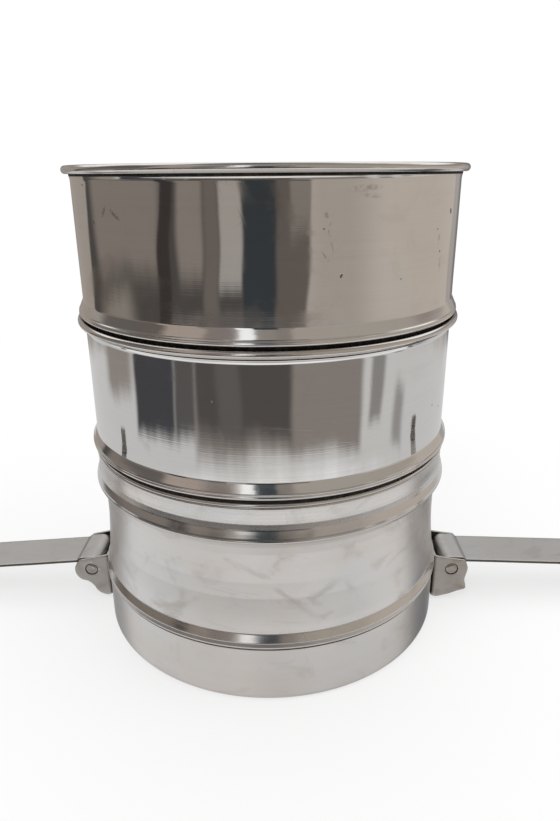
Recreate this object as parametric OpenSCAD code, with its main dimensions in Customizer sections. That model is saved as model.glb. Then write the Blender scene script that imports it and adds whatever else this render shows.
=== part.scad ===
// Stacked three-tier tiffin carrier, its two side straps folded out. Millimetres, +Z up.
// Origin: centre of the foot, on the table. +X runs through the right strap.

/* [Containers] */
// Outside radius of the straight walls of the two upper containers
wall_r = 75; // [70:0.5:80]
// Sheet thickness of the containers
sheet = 0.9; // [0.7:0.1:1.1]
// Radius of the rolled bead round each upper rim
bead_r = 1.45; // [1.2:0.05:1.6]
// Height from the top container's rim down to its lower edge
top_h = 54.3; // [48:0.1:60]
// Height from the middle container's rim down to its lower edge
middle_h = 52.9; // [48:0.1:60]
// Height of the middle container's rim above the table
middle_rim_z = 140.2; // [139:0.1:141]
// Depth of the stepped-in base that drops into the mouth below
base_drop = 7.4; // [6:0.1:9]

/* [Bottom container] */
// Height of the bottom container's rim above the table
bottom_rim_z = 85.6; // [85:0.1:86]
// Outside radius of the skirt the bottom container stands in
skirt_r = 76.4; // [76:0.1:77]
// Height of the seam between the skirt and the container above it
skirt_top_z = 24.2; // [23.5:0.1:24.4]
// Sheet thickness of the skirt
skirt_sheet = 1; // [0.8:0.1:1.2]

/* [Lid] */
// Depth of the lid's pan below the top rim
lid_depth = 10.5; // [10.3:0.1:11]
// Sheet thickness of the lid
lid_sheet = 0.7; // [0.6:0.1:0.9]
// Radius of the raised disc pressed into the lid
lid_disc_r = 52; // [46:0.5:58]

/* [Lid handle] */
// Diameter of the bail wire
wire_d = 4.4; // [4:0.1:4.6]
// Distance between the two arms of the bail, wire centre to wire centre
bail_w = 72; // [68:1:80]
// Reach of the bail from its pivot to the centre of the grip
bail_reach = 37; // [34:1:40]
// Distance between the two lugs' ears
lug_span = 60; // [58:1:60]
// Height of the bail's pivot above the lid's floor
pivot_h = 5.4; // [5.3:0.1:5.6]

/* [Brackets and hinge pins] */
// Distance of each strap's hinge axis from the centre line
hinge_x = 85.05; // [84.8:0.05:85.6]
// Height of the hinge axes above the table
hinge_z = 16.8; // [16.5:0.1:17]
// Sheet thickness of the brackets
bracket_t = 1.2; // [1:0.1:1.3]
// Clear width between the two ears of a bracket
ear_gap = 22.4; // [22.2:0.1:22.8]
// Diameter of a hinge pin between the ears
pin_d = 8.3; // [8:0.1:8.4]
// Diameter of the pin's reduced ends, which sit in the ears
tenon_d = 6.2; // [5.4:0.1:6.6]

/* [Straps] */
// Width of a strap
strap_w = 21.6; // [20:0.1:21.8]
// Thickness of a strap
strap_t = 1.2; // [1:0.1:1.3]
// How far the left strap hangs below level when it is folded out, in degrees
left_droop = 4.2; // [2:0.1:4.3]
// How far the right strap hangs below level when it is folded out, in degrees
right_droop = 1.8; // [1:0.1:4.3]
// Distance from the hinge axis to the underside of the hook
hook_reach = 179; // [178.9:0.1:180]
// How far the hook stands off the strap, which is how far it reaches over the rim
hook_len = 13.2; // [11:0.1:14]

/* [Hidden] */
$fn = 96;

steel = [0.78, 0.78, 0.77];
satin = [0.70, 0.70, 0.68];
dull = [0.62, 0.61, 0.59];

// Clearances
run = 0.05;         // round moving pins, on the radius
seat = 0.04;        // between containers sitting on each other
gap = 0.02;         // between fastened pieces, and round rivets and pin ends
bracket_gap = 0.05; // between skirt and bracket

// Seats: each container rests on the 45 degree point inside the rim below it
diagonal = sqrt(0.5);
bead_centre_r = wall_r + 1.4;
seat_r = bead_centre_r - bead_r*diagonal;
seat_dz = bead_r*(diagonal - 1);          // height of that point from the rim
low_edge_r = 0.72;                        // bottom container's rolled edge
low_edge_centre_r = wall_r + 0.45;
low_seat_r = low_edge_centre_r - low_edge_r*diagonal;
low_seat_z = bottom_rim_z + low_edge_r*(diagonal - 1);
top_rim_z = middle_rim_z + top_h + 1;

// Lid and handle
lid_floor_z = top_rim_z - lid_depth;      // upper face of the lid's pan
disc_rise = 0.8;
pivot_z = lid_floor_z + pivot_h;
wire_r = wire_d/2;
lug_t = 1.2;
lug_foot_z = lid_floor_z + disc_rise + gap;
lug_rivet_x = lug_span/2 - 8;
lug_rivet_y = 4;

// Rivets
rivet_r = 1.6;                            // shanks in the lugs and brackets
hook_rivet_r = 1.5;
hook_rivet_x = hook_reach - 9.5;          // from the hinge axis
hook_rivet_y = 5.5;
bracket_rivet_z = [7.4, 20];

// Brackets and straps
web_x = skirt_r + bracket_gap;            // inner face of a bracket's web
ear_out = ear_gap/2 + bracket_t;
eye_in = pin_d/2 + run;
eye_out = eye_in + strap_t;
flat_top = eye_out - 1.1;                 // strap's upper face, above the hinge axis
hook_z = flat_top + gap;                  // underside of the hook's foot

// Points along an arc, angles in degrees
function arc(centre, radius, from, to, steps) = [
    for (i = [0:steps])
        let (angle = from + (to - from)*i/steps)
            centre + radius*[cos(angle), sin(angle)]
];

// Points moved by an offset
function moved(by, points) = [for (point = points) by + point];

function reversed(points) = [for (i = [len(points) - 1:-1:0]) points[i]];

// ---- Containers ----

// Half-section of an upper container, height 0 at the top of the rim.
// height: rim to lower edge. cone_z: height of the seating cone at radius seat_r.
module tier_section(height, cone_z) {
    base_r = wall_r - 1.4;
    base_z = -height - base_drop;
    corner_r = 2.2;
    corner = [base_r - corner_r, base_z + corner_r];
    centre_rise = 0.5;                    // shallow raised centre of the base
    undercut_r = wall_r + 0.5;
    edge_r = 0.9;                         // rounded lower edge
    // lip flare down to the straight wall: radius beyond wall_r, height from the rim
    flare = [[0.42, -3.9], [0.22, -5.1], [0.08, -6.8], [0, -9]];
    // crease, conical shoulder and small step: radius beyond wall_r, height from the lower edge
    shoulder = [[0, 5.9], [0.12, 5.4], [0.85, 3.9], [1.5, 2.45], [1.52, 2.2], [1.85, 1.85]];
    polygon(concat(
        // over the rolled bead, from its inner side to its root below
        arc([bead_centre_r, -bead_r], bead_r, 180, -108, 20),
        [[wall_r + 0.66, -3.05]],
        moved([wall_r, 0], flare),
        moved([wall_r, -height], shoulder),
        arc([wall_r + 1.1, -height + edge_r], edge_r, 40, -90, 8),
        // up into the undercut, down the seating cone and down the base
        [
            [undercut_r + 0.3, -height],
            [undercut_r, -height - 0.3],
            [undercut_r, cone_z + undercut_r - seat_r],
            [base_r, cone_z + base_r - seat_r]
        ],
        arc(corner, corner_r, 0, -90, 6),
        // underside to the axis, then back out along the floor
        [[60, base_z], [58.5, base_z + centre_rise], [0, base_z + centre_rise]],
        moved([0, base_z + sheet], [[0, centre_rise], [58.2, centre_rise], [59.7, 0]]),
        // inside: corner, wall and mouth
        arc(corner, corner_r - sheet, -90, 0, 5),
        [[base_r - sheet, -height - 1.2], [wall_r - sheet, -height + 1.6]],
        moved([wall_r - sheet, 0], reversed(flare)),
        [[wall_r + 0.66 - sheet, -2.7]]
    ));
}

// Half-section of the bottom container, in its own place
module bottom_section() {
    rim = [wall_r, bottom_rim_z];
    lower_r = wall_r - 1.6;               // lower wall, inside the skirt
    floor_z = 1.05;                       // underside of the floor
    corner_r = 6.5;
    corner = [lower_r - corner_r, floor_z + corner_r];
    // Outlines: radius beyond wall_r, height from the rim
    // collar wall, closing in slightly, and its conical shoulder
    collar = [
        [0.58, -1.6], [0.75, -2.1], [0.7, -4.5], [0.55, -7.4], [0.62, -8.5],
        [1.2, -10.5], [1.9, -12.6]
    ];
    // step back to the neck, slightly waisted main wall, crease, lower shoulder and small step
    wall = [
        [0.3, -15.3], [-0.1, -15.7], [-0.5, -16.3], [-0.75, -17.6],
        [-0.98, -21.5], [-1.1, -27.5], [-1.05, -33.5], [-0.72, -40], [-0.22, -46],
        [0.25, -51.4], [0.5, -54.9],
        [0.62, -55.2], [1.25, -56.6], [1.9, -58], [1.88, -58.3], [2.15, -58.6]
    ];
    // inner face, upwards from the lower shoulder to the rim
    inside = [
        [-0.35, -57.4], [-0.4, -54.9], [-0.65, -51.4], [-1.12, -46], [-1.62, -40],
        [-1.95, -33.5], [-2.0, -27.5], [-1.88, -21.5], [-1.65, -17.3], [-0.6, -14.2],
        [-0.1, -12], [-0.3, -8.3], [-0.35, -7.2], [-0.25, -4.5], [-0.2, -2]
    ];
    polygon(concat(
        // narrow rolled edge of the rim
        arc([low_edge_centre_r, bottom_rim_z - low_edge_r], low_edge_r, 180, -60, 14),
        moved(rim, collar),
        arc(rim + [1.15, -13.9], 1, 30, -75, 8),
        moved(rim, wall),
        // rounded edge over the skirt, and in behind the skirt
        arc(rim + [1.25, -59.8], 1, 25, -65, 7),
        moved([wall_r, skirt_top_z], [[1.2, seat], [-0.2, seat], [-1.5, -1.1], [-1.6, -2.4]]),
        // corner and floor, out and back
        arc(corner, corner_r, 0, -90, 8),
        [[0, floor_z], [0, floor_z + sheet]],
        arc(corner, corner_r - sheet, -90, 0, 8),
        [[lower_r - sheet, skirt_top_z - 1.4]],
        moved(rim, inside)
    ));
}

module bottom_container() {
    color(satin) rotate_extrude() bottom_section();
}

// Holes along X for a bracket's rivets, centred on distance x
module bracket_rivet_holes(x) {
    for (z = bracket_rivet_z)
        translate([x, 0, z]) rotate([0, 90, 0])
            cylinder(r = rivet_r + gap, h = 8, center = true);
}

// Skirt: plain band with a turned-in foot. The brackets are riveted to it.
module base_skirt() {
    foot_r = 2.6;                         // outer radius of the turned-in bend
    foot_centre = [skirt_r - foot_r, foot_r];
    color(satin) difference() {
        rotate_extrude() polygon(concat(
            [
                [skirt_r - skirt_sheet, skirt_top_z],
                [skirt_r - 0.25, skirt_top_z],
                [skirt_r, skirt_top_z - 0.35]
            ],
            arc(foot_centre, foot_r, 0, -90, 7),
            [[66, 0], [66, skirt_sheet]],
            arc(foot_centre, foot_r - skirt_sheet, -90, 0, 5)
        ));
        for (side = [-1, 1]) bracket_rivet_holes(side*skirt_r);
    }
}

module middle_container() {
    cone_z = low_seat_z + seat_r - low_seat_r - middle_rim_z + seat;
    color(steel) translate([0, 0, middle_rim_z]) rotate_extrude()
        tier_section(middle_h, cone_z);
}

module top_container() {
    cone_z = middle_rim_z + seat_dz - top_rim_z + seat;
    color(steel) translate([0, 0, top_rim_z]) rotate_extrude()
        tier_section(top_h, cone_z);
}

// ---- Lid and handle ----

// Lid: recessed pan that seats on the inner slope of the top rim
module lid() {
    pan_r = wall_r - 1.35;
    under_z = lid_floor_z - lid_sheet;
    cone_dz = top_rim_z + seat_dz + seat - seat_r;   // seating cone: height = radius + cone_dz
    edge_r = seat_r + 0.08;
    corner_r = 2;
    corner = [pan_r - corner_r, under_z + corner_r];
    color(steel) difference() {
        rotate_extrude() polygon(concat(
            // rounded lip, outer edge and seating cone
            [[pan_r - lid_sheet, top_rim_z - 1.5]],
            arc([pan_r + 0.1, top_rim_z - 1.1], 1.05, 160, 90, 4),
            [
                [edge_r - 0.15, top_rim_z - 0.05],
                [edge_r, top_rim_z - 0.15],
                [edge_r, edge_r + cone_dz],
                [pan_r, pan_r + cone_dz]
            ],
            // underside to the axis, then back out over the raised disc
            arc(corner, corner_r, 0, -90, 6),
            moved([0, under_z], [[lid_disc_r + 1, 0], [lid_disc_r, disc_rise], [0, disc_rise]]),
            moved([0, lid_floor_z],
                  [[0, disc_rise], [lid_disc_r - 0.3, disc_rise], [lid_disc_r + 0.7, 0]]),
            arc(corner, corner_r - lid_sheet, -90, 0, 4)
        ));
        for (side = [-1, 1]) lug_rivet_holes(side, lid_floor_z - 3);
    }
}

// Holes for one lug's two rivets, rising from bottom_z
module lug_rivet_holes(side, bottom_z) {
    for (y = [-lug_rivet_y, lug_rivet_y])
        translate([side*lug_rivet_x, y, bottom_z]) cylinder(r = rivet_r + gap, h = 6);
}

// One lug: a riveted foot and an upright ear with the pivot hole. side is -1 or 1.
module lug(side) {
    ear_x = lug_span/2;
    half_w = 6.5;                         // half-width along Y
    neck_w = 5.2;                         // half-width where the ear starts to round
    neck_z = lug_foot_z + 2.2;
    foot_half = 7.3;                      // half-length of the foot along X
    corner_r = 1.5;
    corner_x = foot_half - corner_r;
    corner_y = half_w - corner_r;
    color(dull) difference() {
        union() {
            translate([side*ear_x, 0, 0]) rotate([90, 0, 90]) translate([0, 0, -lug_t/2])
                linear_extrude(lug_t) polygon(concat(
                    [[-half_w, lug_foot_z], [half_w, lug_foot_z], [neck_w, neck_z]],
                    arc([0, pivot_z], 3.9, 10, 170, 14),
                    [[-neck_w, neck_z]]
                ));
            translate([side*(ear_x - 7), 0, lug_foot_z]) linear_extrude(lug_t) union() {
                translate([-corner_x, -half_w]) square([2*corner_x, 2*half_w]);
                translate([-foot_half, -corner_y]) square([2*foot_half, 2*corner_y]);
                for (i = [-1, 1], j = [-1, 1])
                    translate([i*corner_x, j*corner_y]) circle(r = corner_r);
            }
        }
        translate([side*ear_x, 0, pivot_z]) rotate([0, 90, 0])
            cylinder(r = wire_r + run, h = 6, center = true);
        lug_rivet_holes(side, lug_foot_z - 2);
    }
}

module left_handle_lug() { lug(-1); }
module right_handle_lug() { lug(1); }

// Rivet along +Z, gripping between z = 0 and z = grip: domed head above, flat tail below
module rivet(grip, shank_r, head_r, head_h, tail_r, tail_h) {
    dome_r = (head_r*head_r + head_h*head_h)/(2*head_h);
    lift = 0.03;                          // head and tail stand clear of the sheets
    translate([0, 0, -tail_h/2]) cylinder(r = shank_r, h = grip + tail_h/2 + head_h/2);
    translate([0, 0, -tail_h]) cylinder(r = tail_r, h = tail_h - lift);
    translate([0, 0, grip + lift]) rotate_extrude() intersection() {
        translate([0, head_h - dome_r]) circle(r = dome_r);
        square([head_r, head_h*2]);
    }
}

module handle_lug_rivets() {
    color(dull) for (side = [-1, 1], y = [-lug_rivet_y, lug_rivet_y])
        translate([side*lug_rivet_x, y, lid_floor_z + disc_rise - lid_sheet - gap])
            rivet(grip = lid_sheet + lug_t + 2*gap, shank_r = rivet_r,
                  head_r = 2.7, head_h = 1.1, tail_r = 2.4, tail_h = 0.8);
}

// Bail handle, folded down towards +Y on the lid
module bail_handle() {
    bend_r = 4;                           // from pivot to arm
    corner_r = 14;                        // from arm to grip
    arm_x = bail_w/2;
    bend_x = arm_x - bend_r;
    corner_x = arm_x - corner_r;
    corner_y = bail_reach - corner_r;
    end_x = lug_span/2 - 2.6;             // peened end, inside the lug
    rest_gap = 0.12;                      // between the grip and the lid's disc
    fold = asin((pivot_h - disc_rise - wire_r - rest_gap)/bail_reach);
    color(steel) translate([0, 0, pivot_z]) rotate([-fold, 0, 0]) {
        for (side = [-1, 1]) {
            // peened end
            translate([side*end_x, 0, 0]) rotate([0, 90, 0])
                cylinder(r = wire_r + 0.8, h = 1.2, center = true);
            // pivot through the lug
            translate([side*(end_x + bend_x)/2, 0, 0]) rotate([0, 90, 0])
                cylinder(r = wire_r, h = bend_x - end_x, center = true);
            // bend, arm and corner
            translate([side*bend_x, bend_r, 0]) rotate([0, 0, side > 0 ? -90 : 180])
                rotate_extrude(angle = 90) translate([bend_r, 0]) circle(r = wire_r);
            translate([side*arm_x, bend_r, 0]) rotate([-90, 0, 0])
                cylinder(r = wire_r, h = corner_y - bend_r);
            translate([side*corner_x, corner_y, 0]) rotate([0, 0, side > 0 ? 0 : 90])
                rotate_extrude(angle = 90) translate([corner_r, 0]) circle(r = wire_r);
        }
        // grip
        translate([0, bail_reach, 0]) rotate([0, 90, 0])
            cylinder(r = wire_r, h = 2*corner_x, center = true);
    }
}

// ---- Brackets and hinge pins ----

// Folded bracket: a web against the skirt and two ears. outline is that of the
// ears seen along Y, with X measured outwards from the centre line.
module bracket(outline) {
    depth = 20;                           // before the outline trims it
    outer_r = 2;                          // fold radii
    inner_r = 0.8;
    inner_x = web_x + bracket_t;
    inner_y = ear_out - bracket_t;
    difference() {
        intersection() {
            // channel seen from above
            linear_extrude(30) difference() {
                union() {
                    translate([web_x, -ear_out + outer_r])
                        square([depth, 2*(ear_out - outer_r)]);
                    translate([web_x + outer_r, -ear_out])
                        square([depth - outer_r, 2*ear_out]);
                    for (side = [-1, 1])
                        translate([web_x + outer_r, side*(ear_out - outer_r)])
                            circle(r = outer_r);
                }
                translate([inner_x, -inner_y + inner_r])
                    square([depth, 2*(inner_y - inner_r)]);
                translate([inner_x + inner_r, -inner_y]) square([depth, 2*inner_y]);
                for (side = [-1, 1])
                    translate([inner_x + inner_r, side*(inner_y - inner_r)])
                        circle(r = inner_r);
            }
            rotate([90, 0, 0]) translate([0, 0, -20]) linear_extrude(40) polygon(outline);
        }
        translate([hinge_x, 0, hinge_z]) rotate([90, 0, 0])
            cylinder(r = tenon_d/2 + gap, h = 40, center = true);
        bracket_rivet_holes(web_x);
    }
}

// Left ears: rounded lobe round the pin, then a hollow taper to the foot
module left_bracket() {
    // distance beyond skirt_r, height above the table
    taper = [
        [0, 2.2], [3.4, 2.7], [5.6, 3.6], [7.1, 5.2], [8.1, 7.2], [9.4, 9.0], [11.2, 10.3]
    ];
    color(dull) mirror([1, 0, 0]) bracket(concat(
        moved([skirt_r, 0], taper),
        arc([hinge_x + 1.9, hinge_z - 0.6], 6.1, -62, 42, 12),
        [[hinge_x + 5.6, 21.3], [hinge_x + 4.2, 21.75], [skirt_r + 1.6, 24.2], [skirt_r, 24.2]]
    ));
}

// Right ears: uneven outline with a shallow nick in the outer edge
module right_bracket() {
    // distance beyond skirt_r, height above the table
    outline = [
        [0, 1.3], [3.2, 1.6], [8.2, 2.9], [12.6, 4.7], [15.6, 5.6], [16.2, 6.4],
        [15.9, 8.2], [15.4, 10.0], [15.3, 11.6], [15.7, 13.6], [16.2, 15.6], [16.3, 17.4],
        [15.8, 19.2], [15.2, 20.9], [14.4, 21.5], [8, 22.4], [1.6, 23.6], [0, 23.6]
    ];
    color(dull) bracket(moved([skirt_r, 0], outline));
}

// Heads outside on the bracket's web, tails inside the skirt
module bracket_rivets() {
    tail_gap = 0.06;
    start_x = skirt_r - skirt_sheet - tail_gap;
    for (z = bracket_rivet_z) translate([start_x, 0, z]) rotate([0, 90, 0])
        rivet(grip = web_x + bracket_t - start_x, shank_r = rivet_r,
              head_r = 2.8, head_h = 1.1, tail_r = 2.5, tail_h = 1);
}

module left_bracket_rivets() { color(dull) mirror([1, 0, 0]) bracket_rivets(); }
module right_bracket_rivets() { color(dull) bracket_rivets(); }

// Hinge pin: thick between the ears, with a reduced end held in each ear
module hinge_pin(side) {
    translate([side*hinge_x, 0, hinge_z]) rotate([90, 0, 0]) {
        cylinder(r = pin_d/2, h = ear_gap - 0.1, center = true);
        cylinder(r = tenon_d/2, h = 2*ear_out - 0.4, center = true);
    }
}

module left_hinge_pin() { color(dull) hinge_pin(-1); }
module right_hinge_pin() { color(dull) hinge_pin(1); }

// ---- Straps and hooks, drawn about the hinge axis and running towards +X ----

// Place a piece on the right hinge, folded out and hanging by droop degrees
module fold_out(droop) {
    translate([hinge_x, 0, hinge_z]) rotate([0, droop, 0]) children();
}

module hook_rivet_holes() {
    for (y = [-hook_rivet_y, hook_rivet_y])
        translate([hook_rivet_x, y, 0]) cylinder(r = hook_rivet_r + gap, h = 12);
}

// Undrilled strap: rolled eye, joggle, flat and thumb tab
module strap_blank() {
    tab_x = hook_reach + 4.9;             // outer face of the thumb tab
    bend_r = 3.4;                         // outer radius of the tab's bend
    bend = [tab_x - bend_r, flat_top - bend_r];
    tip_z = -2.6;                         // lower end of the tab
    root_under = eye_in - 0.18;           // faces of the strap where it leaves the eye
    root_top = eye_out - 0.11;
    rotate([90, 0, 0]) translate([0, 0, -strap_w/2]) linear_extrude(strap_w) difference() {
        union() {
            // eye, opened where the strap leaves it
            difference() {
                circle(r = eye_out);
                polygon([[0, 0], [9, 3.3], [9, 12], [3, 12]]);
            }
            polygon(concat(
                [[0.3, root_under], [5.1, root_under], [6.4, flat_top - strap_t]],
                arc(bend, bend_r - strap_t, 90, 0, 6),
                [[tab_x - strap_t, tip_z], [tab_x, tip_z]],
                arc(bend, bend_r, 0, 90, 8),
                [[6.95, flat_top], [5.65, root_top], [0.3, root_top]]
            ));
        }
        circle(r = eye_in);
    }
}

module strap() {
    difference() {
        strap_blank();
        hook_rivet_holes();
    }
}

module left_strap() { color(dull) mirror([1, 0, 0]) fold_out(left_droop) strap(); }
module right_strap() { color(dull) fold_out(right_droop) strap(); }

// Hook: an angle riveted to the strap's upper face
module hook() {
    width = strap_w - 1;
    foot_x = hook_reach - 15.5;           // end of the foot nearest the hinge
    bend_r = 2.4;                         // outer radius
    bend = [hook_reach + strap_t - bend_r, hook_z + bend_r];
    tip_r = strap_t/2;
    difference() {
        rotate([90, 0, 0]) translate([0, 0, -width/2]) linear_extrude(width) polygon(concat(
            [[foot_x, hook_z]],
            arc(bend, bend_r, -90, 0, 6),
            arc([hook_reach + tip_r, hook_z + hook_len - tip_r], tip_r, 0, 180, 6),
            arc(bend, bend_r - strap_t, 0, -90, 4),
            [[foot_x, hook_z + strap_t]]
        ));
        hook_rivet_holes();
    }
}

module left_hook() { color(dull) mirror([1, 0, 0]) fold_out(left_droop) hook(); }
module right_hook() { color(dull) fold_out(right_droop) hook(); }

// Heads under the strap, tails on the hook's foot
module hook_rivets() {
    for (y = [-hook_rivet_y, hook_rivet_y])
        translate([hook_rivet_x, y, hook_z + strap_t + gap]) mirror([0, 0, 1])
            rivet(grip = 2*strap_t + 3*gap, shank_r = hook_rivet_r,
                  head_r = 2.6, head_h = 0.95, tail_r = 2.4, tail_h = 0.8);
}

module left_hook_rivets() { color(dull) mirror([1, 0, 0]) fold_out(left_droop) hook_rivets(); }
module right_hook_rivets() { color(dull) fold_out(right_droop) hook_rivets(); }

bottom_container();
base_skirt();
middle_container();
top_container();
lid();
left_handle_lug();
right_handle_lug();
handle_lug_rivets();
bail_handle();
left_bracket();
right_bracket();
left_bracket_rivets();
right_bracket_rivets();
left_hinge_pin();
right_hinge_pin();
left_strap();
right_strap();
left_hook();
right_hook();
left_hook_rivets();
right_hook_rivets();
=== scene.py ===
# A three-tier steel food carrier with a lid, a wire bail handle and two folded-out side straps.
# It stands on z = 0 about the Z axis, its front towards -Y. The hinges and straps lie at -X
# (left) and +X (right). Shapes are worked out in mm and scaled by MM to metres.
from math import acos, asin, atan2, ceil, copysign, cos, degrees, hypot, pi, radians, sin, sqrt, tan

import bmesh
import bpy
import numpy as np
from mathutils import Matrix, Vector, geometry, noise


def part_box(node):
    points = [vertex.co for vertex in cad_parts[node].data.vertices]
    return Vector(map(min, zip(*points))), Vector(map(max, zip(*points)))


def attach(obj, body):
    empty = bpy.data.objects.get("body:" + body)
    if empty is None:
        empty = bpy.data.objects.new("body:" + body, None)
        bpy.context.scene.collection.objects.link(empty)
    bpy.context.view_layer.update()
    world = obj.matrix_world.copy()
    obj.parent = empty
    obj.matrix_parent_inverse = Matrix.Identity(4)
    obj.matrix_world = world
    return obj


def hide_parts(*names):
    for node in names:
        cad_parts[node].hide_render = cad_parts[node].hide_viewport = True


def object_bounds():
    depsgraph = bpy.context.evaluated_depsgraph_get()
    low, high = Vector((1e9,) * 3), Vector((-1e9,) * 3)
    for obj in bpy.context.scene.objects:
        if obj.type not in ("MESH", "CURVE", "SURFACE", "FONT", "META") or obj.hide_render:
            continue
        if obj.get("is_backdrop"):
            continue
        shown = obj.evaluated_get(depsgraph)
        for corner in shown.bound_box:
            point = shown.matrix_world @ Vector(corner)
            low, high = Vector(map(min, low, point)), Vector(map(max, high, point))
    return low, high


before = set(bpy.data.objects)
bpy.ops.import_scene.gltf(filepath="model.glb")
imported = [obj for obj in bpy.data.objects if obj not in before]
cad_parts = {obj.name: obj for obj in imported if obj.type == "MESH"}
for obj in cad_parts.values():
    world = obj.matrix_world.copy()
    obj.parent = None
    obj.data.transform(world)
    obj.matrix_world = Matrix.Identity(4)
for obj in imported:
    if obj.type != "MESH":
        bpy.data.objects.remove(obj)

CAD_LOW, CAD_HIGH = (corner.copy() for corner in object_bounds())
MM = 0.001

# ------------------------------------------------------------------ shared sizes, in mm


def cad_box(node):
    """Low and high corner of a CAD piece, in mm."""
    low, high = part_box(node)
    return low / MM, high / MM


# containers
TOP_RIM = cad_box("top_container")[1].z
MID_RIM = cad_box("middle_container")[1].z
LOW_RIM = cad_box("bottom_container")[1].z
BEAD_R = 1.45                                          # section of the rolled bead
BEAD_C = cad_box("top_container")[1].y - BEAD_R        # radius of the bead's centre line
WALL_R = BEAD_C - 1.4                                  # outside of the walls
SHEET = 0.9
SKIRT_R = cad_box("base_skirt")[1].y
SKIRT_TOP = cad_box("base_skirt")[1].z
SKIRT_T = 1.0
TOP_H, MID_H = 54.3, 52.9                              # rim to the band at the wall's foot
DROP = 7.4                                             # how far a base reaches below that band
# 45 degree seats: where the tier above touches a bead, and where it touches the lowest rim
SEAT_R = BEAD_C - BEAD_R * sqrt(0.5)
SEAT_DZ = -BEAD_R + BEAD_R * sqrt(0.5)
SEAT_GAP = 0.04
LOW_EDGE = 0.72                                        # section of the lowest rolled edge
LOW_SEAT_R = WALL_R + 0.45 - LOW_EDGE * sqrt(0.5)
LOW_SEAT_Z = LOW_RIM - LOW_EDGE + LOW_EDGE * sqrt(0.5)
SEGMENTS = 320                                         # round each container

# lid and handle
LID_T = 0.7
LID_FLOOR = TOP_RIM - 10.5
LID_RISE = 0.8                                         # the raised middle of the lid
PIVOT_RISE = 5.4
PIVOT_Z = LID_FLOOR + PIVOT_RISE
LUG_T = 1.2
LUG_RIVET_X, LUG_RIVET_Y = 22, 4

# hinges, brackets and straps
PIN_LOW, PIN_HIGH = cad_box("right_hinge_pin")
HINGE_X = (PIN_LOW.x + PIN_HIGH.x) / 2
HINGE_Z = (PIN_LOW.z + PIN_HIGH.z) / 2
EAR_IN, EAR_OUT, BRACKET_T = 11.2, 12.4, 1.2           # half widths of a bracket
BRACKET_RIVET_Z = (7.4, 20.0)
EYE_IN, EYE_OUT = 4.2, 5.4                             # radii of a strap's curl
STRAP_T, STRAP_W = 1.2, 21.6
STRAP_TOP = EYE_OUT - 1.1                              # upper face, above the hinge axis
DROOP = {-1: 4.2, 1: 1.8}                              # degrees below level
HOOK_REACH, HOOK_H = 179.0, 13.2
HOOK_RIVET_X, HOOK_RIVET_Y = HOOK_REACH - 9.5, 5.5
SIDES = ((-1, "left"), (1, "right"))

# ------------------------------------------------------------------ outlines and paths


def arc(x, y, radius, start, end, count):
    """Points (x, y, no fillet) on an arc, angles in degrees."""
    angles = [radians(start + (end - start) * i / count) for i in range(count + 1)]
    return [(x + radius * cos(a), y + radius * sin(a), 0) for a in angles]


def on(face, points, dx=0.0, dy=0.0):
    """Moves (x, y, fillet) points and adds the face number of the stretches they start."""
    return [(x + dx, y + dy, fillet, face) for x, y, fillet in points]


def rounded(points, closed=False, fine=11.0):
    """Fillets the corners of points (x, y, fillet radius, face), where face may be left out.
    fine: degrees per step. Returns (x, y, face of the stretch that follows)."""
    points = [(*p, 0)[:4] for p in points]
    count, path = len(points), []
    for i, (x, y, fillet, face) in enumerate(points):
        if (not closed and i in (0, count - 1)) or fillet <= 0:
            path.append((x, y, face))
            continue
        corner = Vector((x, y))
        back = Vector(points[i - 1][:2]) - corner
        ahead = Vector(points[(i + 1) % count][:2]) - corner
        room = 0.46 * min(back.length, ahead.length)
        back.normalize()
        ahead.normalize()
        turn = pi - acos(max(-1.0, min(1.0, back.dot(ahead))))
        if turn < 0.01:
            path.append((x, y, face))
            continue
        trim = min(fillet * tan(turn / 2), room)
        radius = trim / tan(turn / 2)
        centre = corner + (back + ahead).normalized() * (radius / cos(turn / 2))
        first, last = corner + back * trim - centre, corner + ahead * trim - centre
        start, end = atan2(first.y, first.x), atan2(last.y, last.x)
        while end - start > pi:
            end -= 2 * pi
        while end - start < -pi:
            end += 2 * pi
        steps = max(2, ceil(degrees(turn) / fine))
        for j in range(steps + 1):
            angle = start + (end - start) * j / steps
            path.append((centre.x + radius * cos(angle), centre.y + radius * sin(angle),
                         points[i - 1][3] if j < steps / 2 else face))
    return path


def held(path, hold=0.16, step=3.2):
    """Adds a support point near both ends of every long stretch, and splits it by step."""
    out = []
    for a, b in zip(path, path[1:]):
        out.append(a)
        length = hypot(b[0] - a[0], b[1] - a[1])
        if length > 4 * hold:
            count = int(length // step) + 1
            for j in range(count + 1):
                share = (hold + (length - 2 * hold) * j / count) / length
                out.append((a[0] + (b[0] - a[0]) * share, a[1] + (b[1] - a[1]) * share, a[2]))
    out.append(path[-1])
    return out


def grid(start, end, step):
    count = max(1, int(round((end - start) / step)))
    return [round(start + (end - start) * i / count, 4) for i in range(count + 1)]


def split(a, b, step):
    """Points from a towards b, b left out, with no gap longer than step."""
    count = max(1, ceil(hypot(b[0] - a[0], b[1] - a[1]) / step))
    return [(a[0] + (b[0] - a[0]) * j / count, a[1] + (b[1] - a[1]) * j / count)
            for j in range(count)]


def resample(loop, step):
    """A closed loop with no stretch longer than step. Corners are kept."""
    return [p for i, a in enumerate(loop) for p in split(a, loop[(i + 1) % len(loop)], step)]


def inset(loop, distance):
    out = []
    for i, point in enumerate(loop):
        a, b, c = Vector(loop[i - 1]), Vector(point), Vector(loop[(i + 1) % len(loop)])
        u, v = (b - a).normalized(), (c - b).normalized()
        inward = Vector((-(u.y + v.y), u.x + v.x))
        inward.normalize()
        stretch = 1 / max(0.5, inward.dot(Vector((-u.y, u.x))))
        out.append(tuple(b + inward * distance * stretch))
    return out


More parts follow.
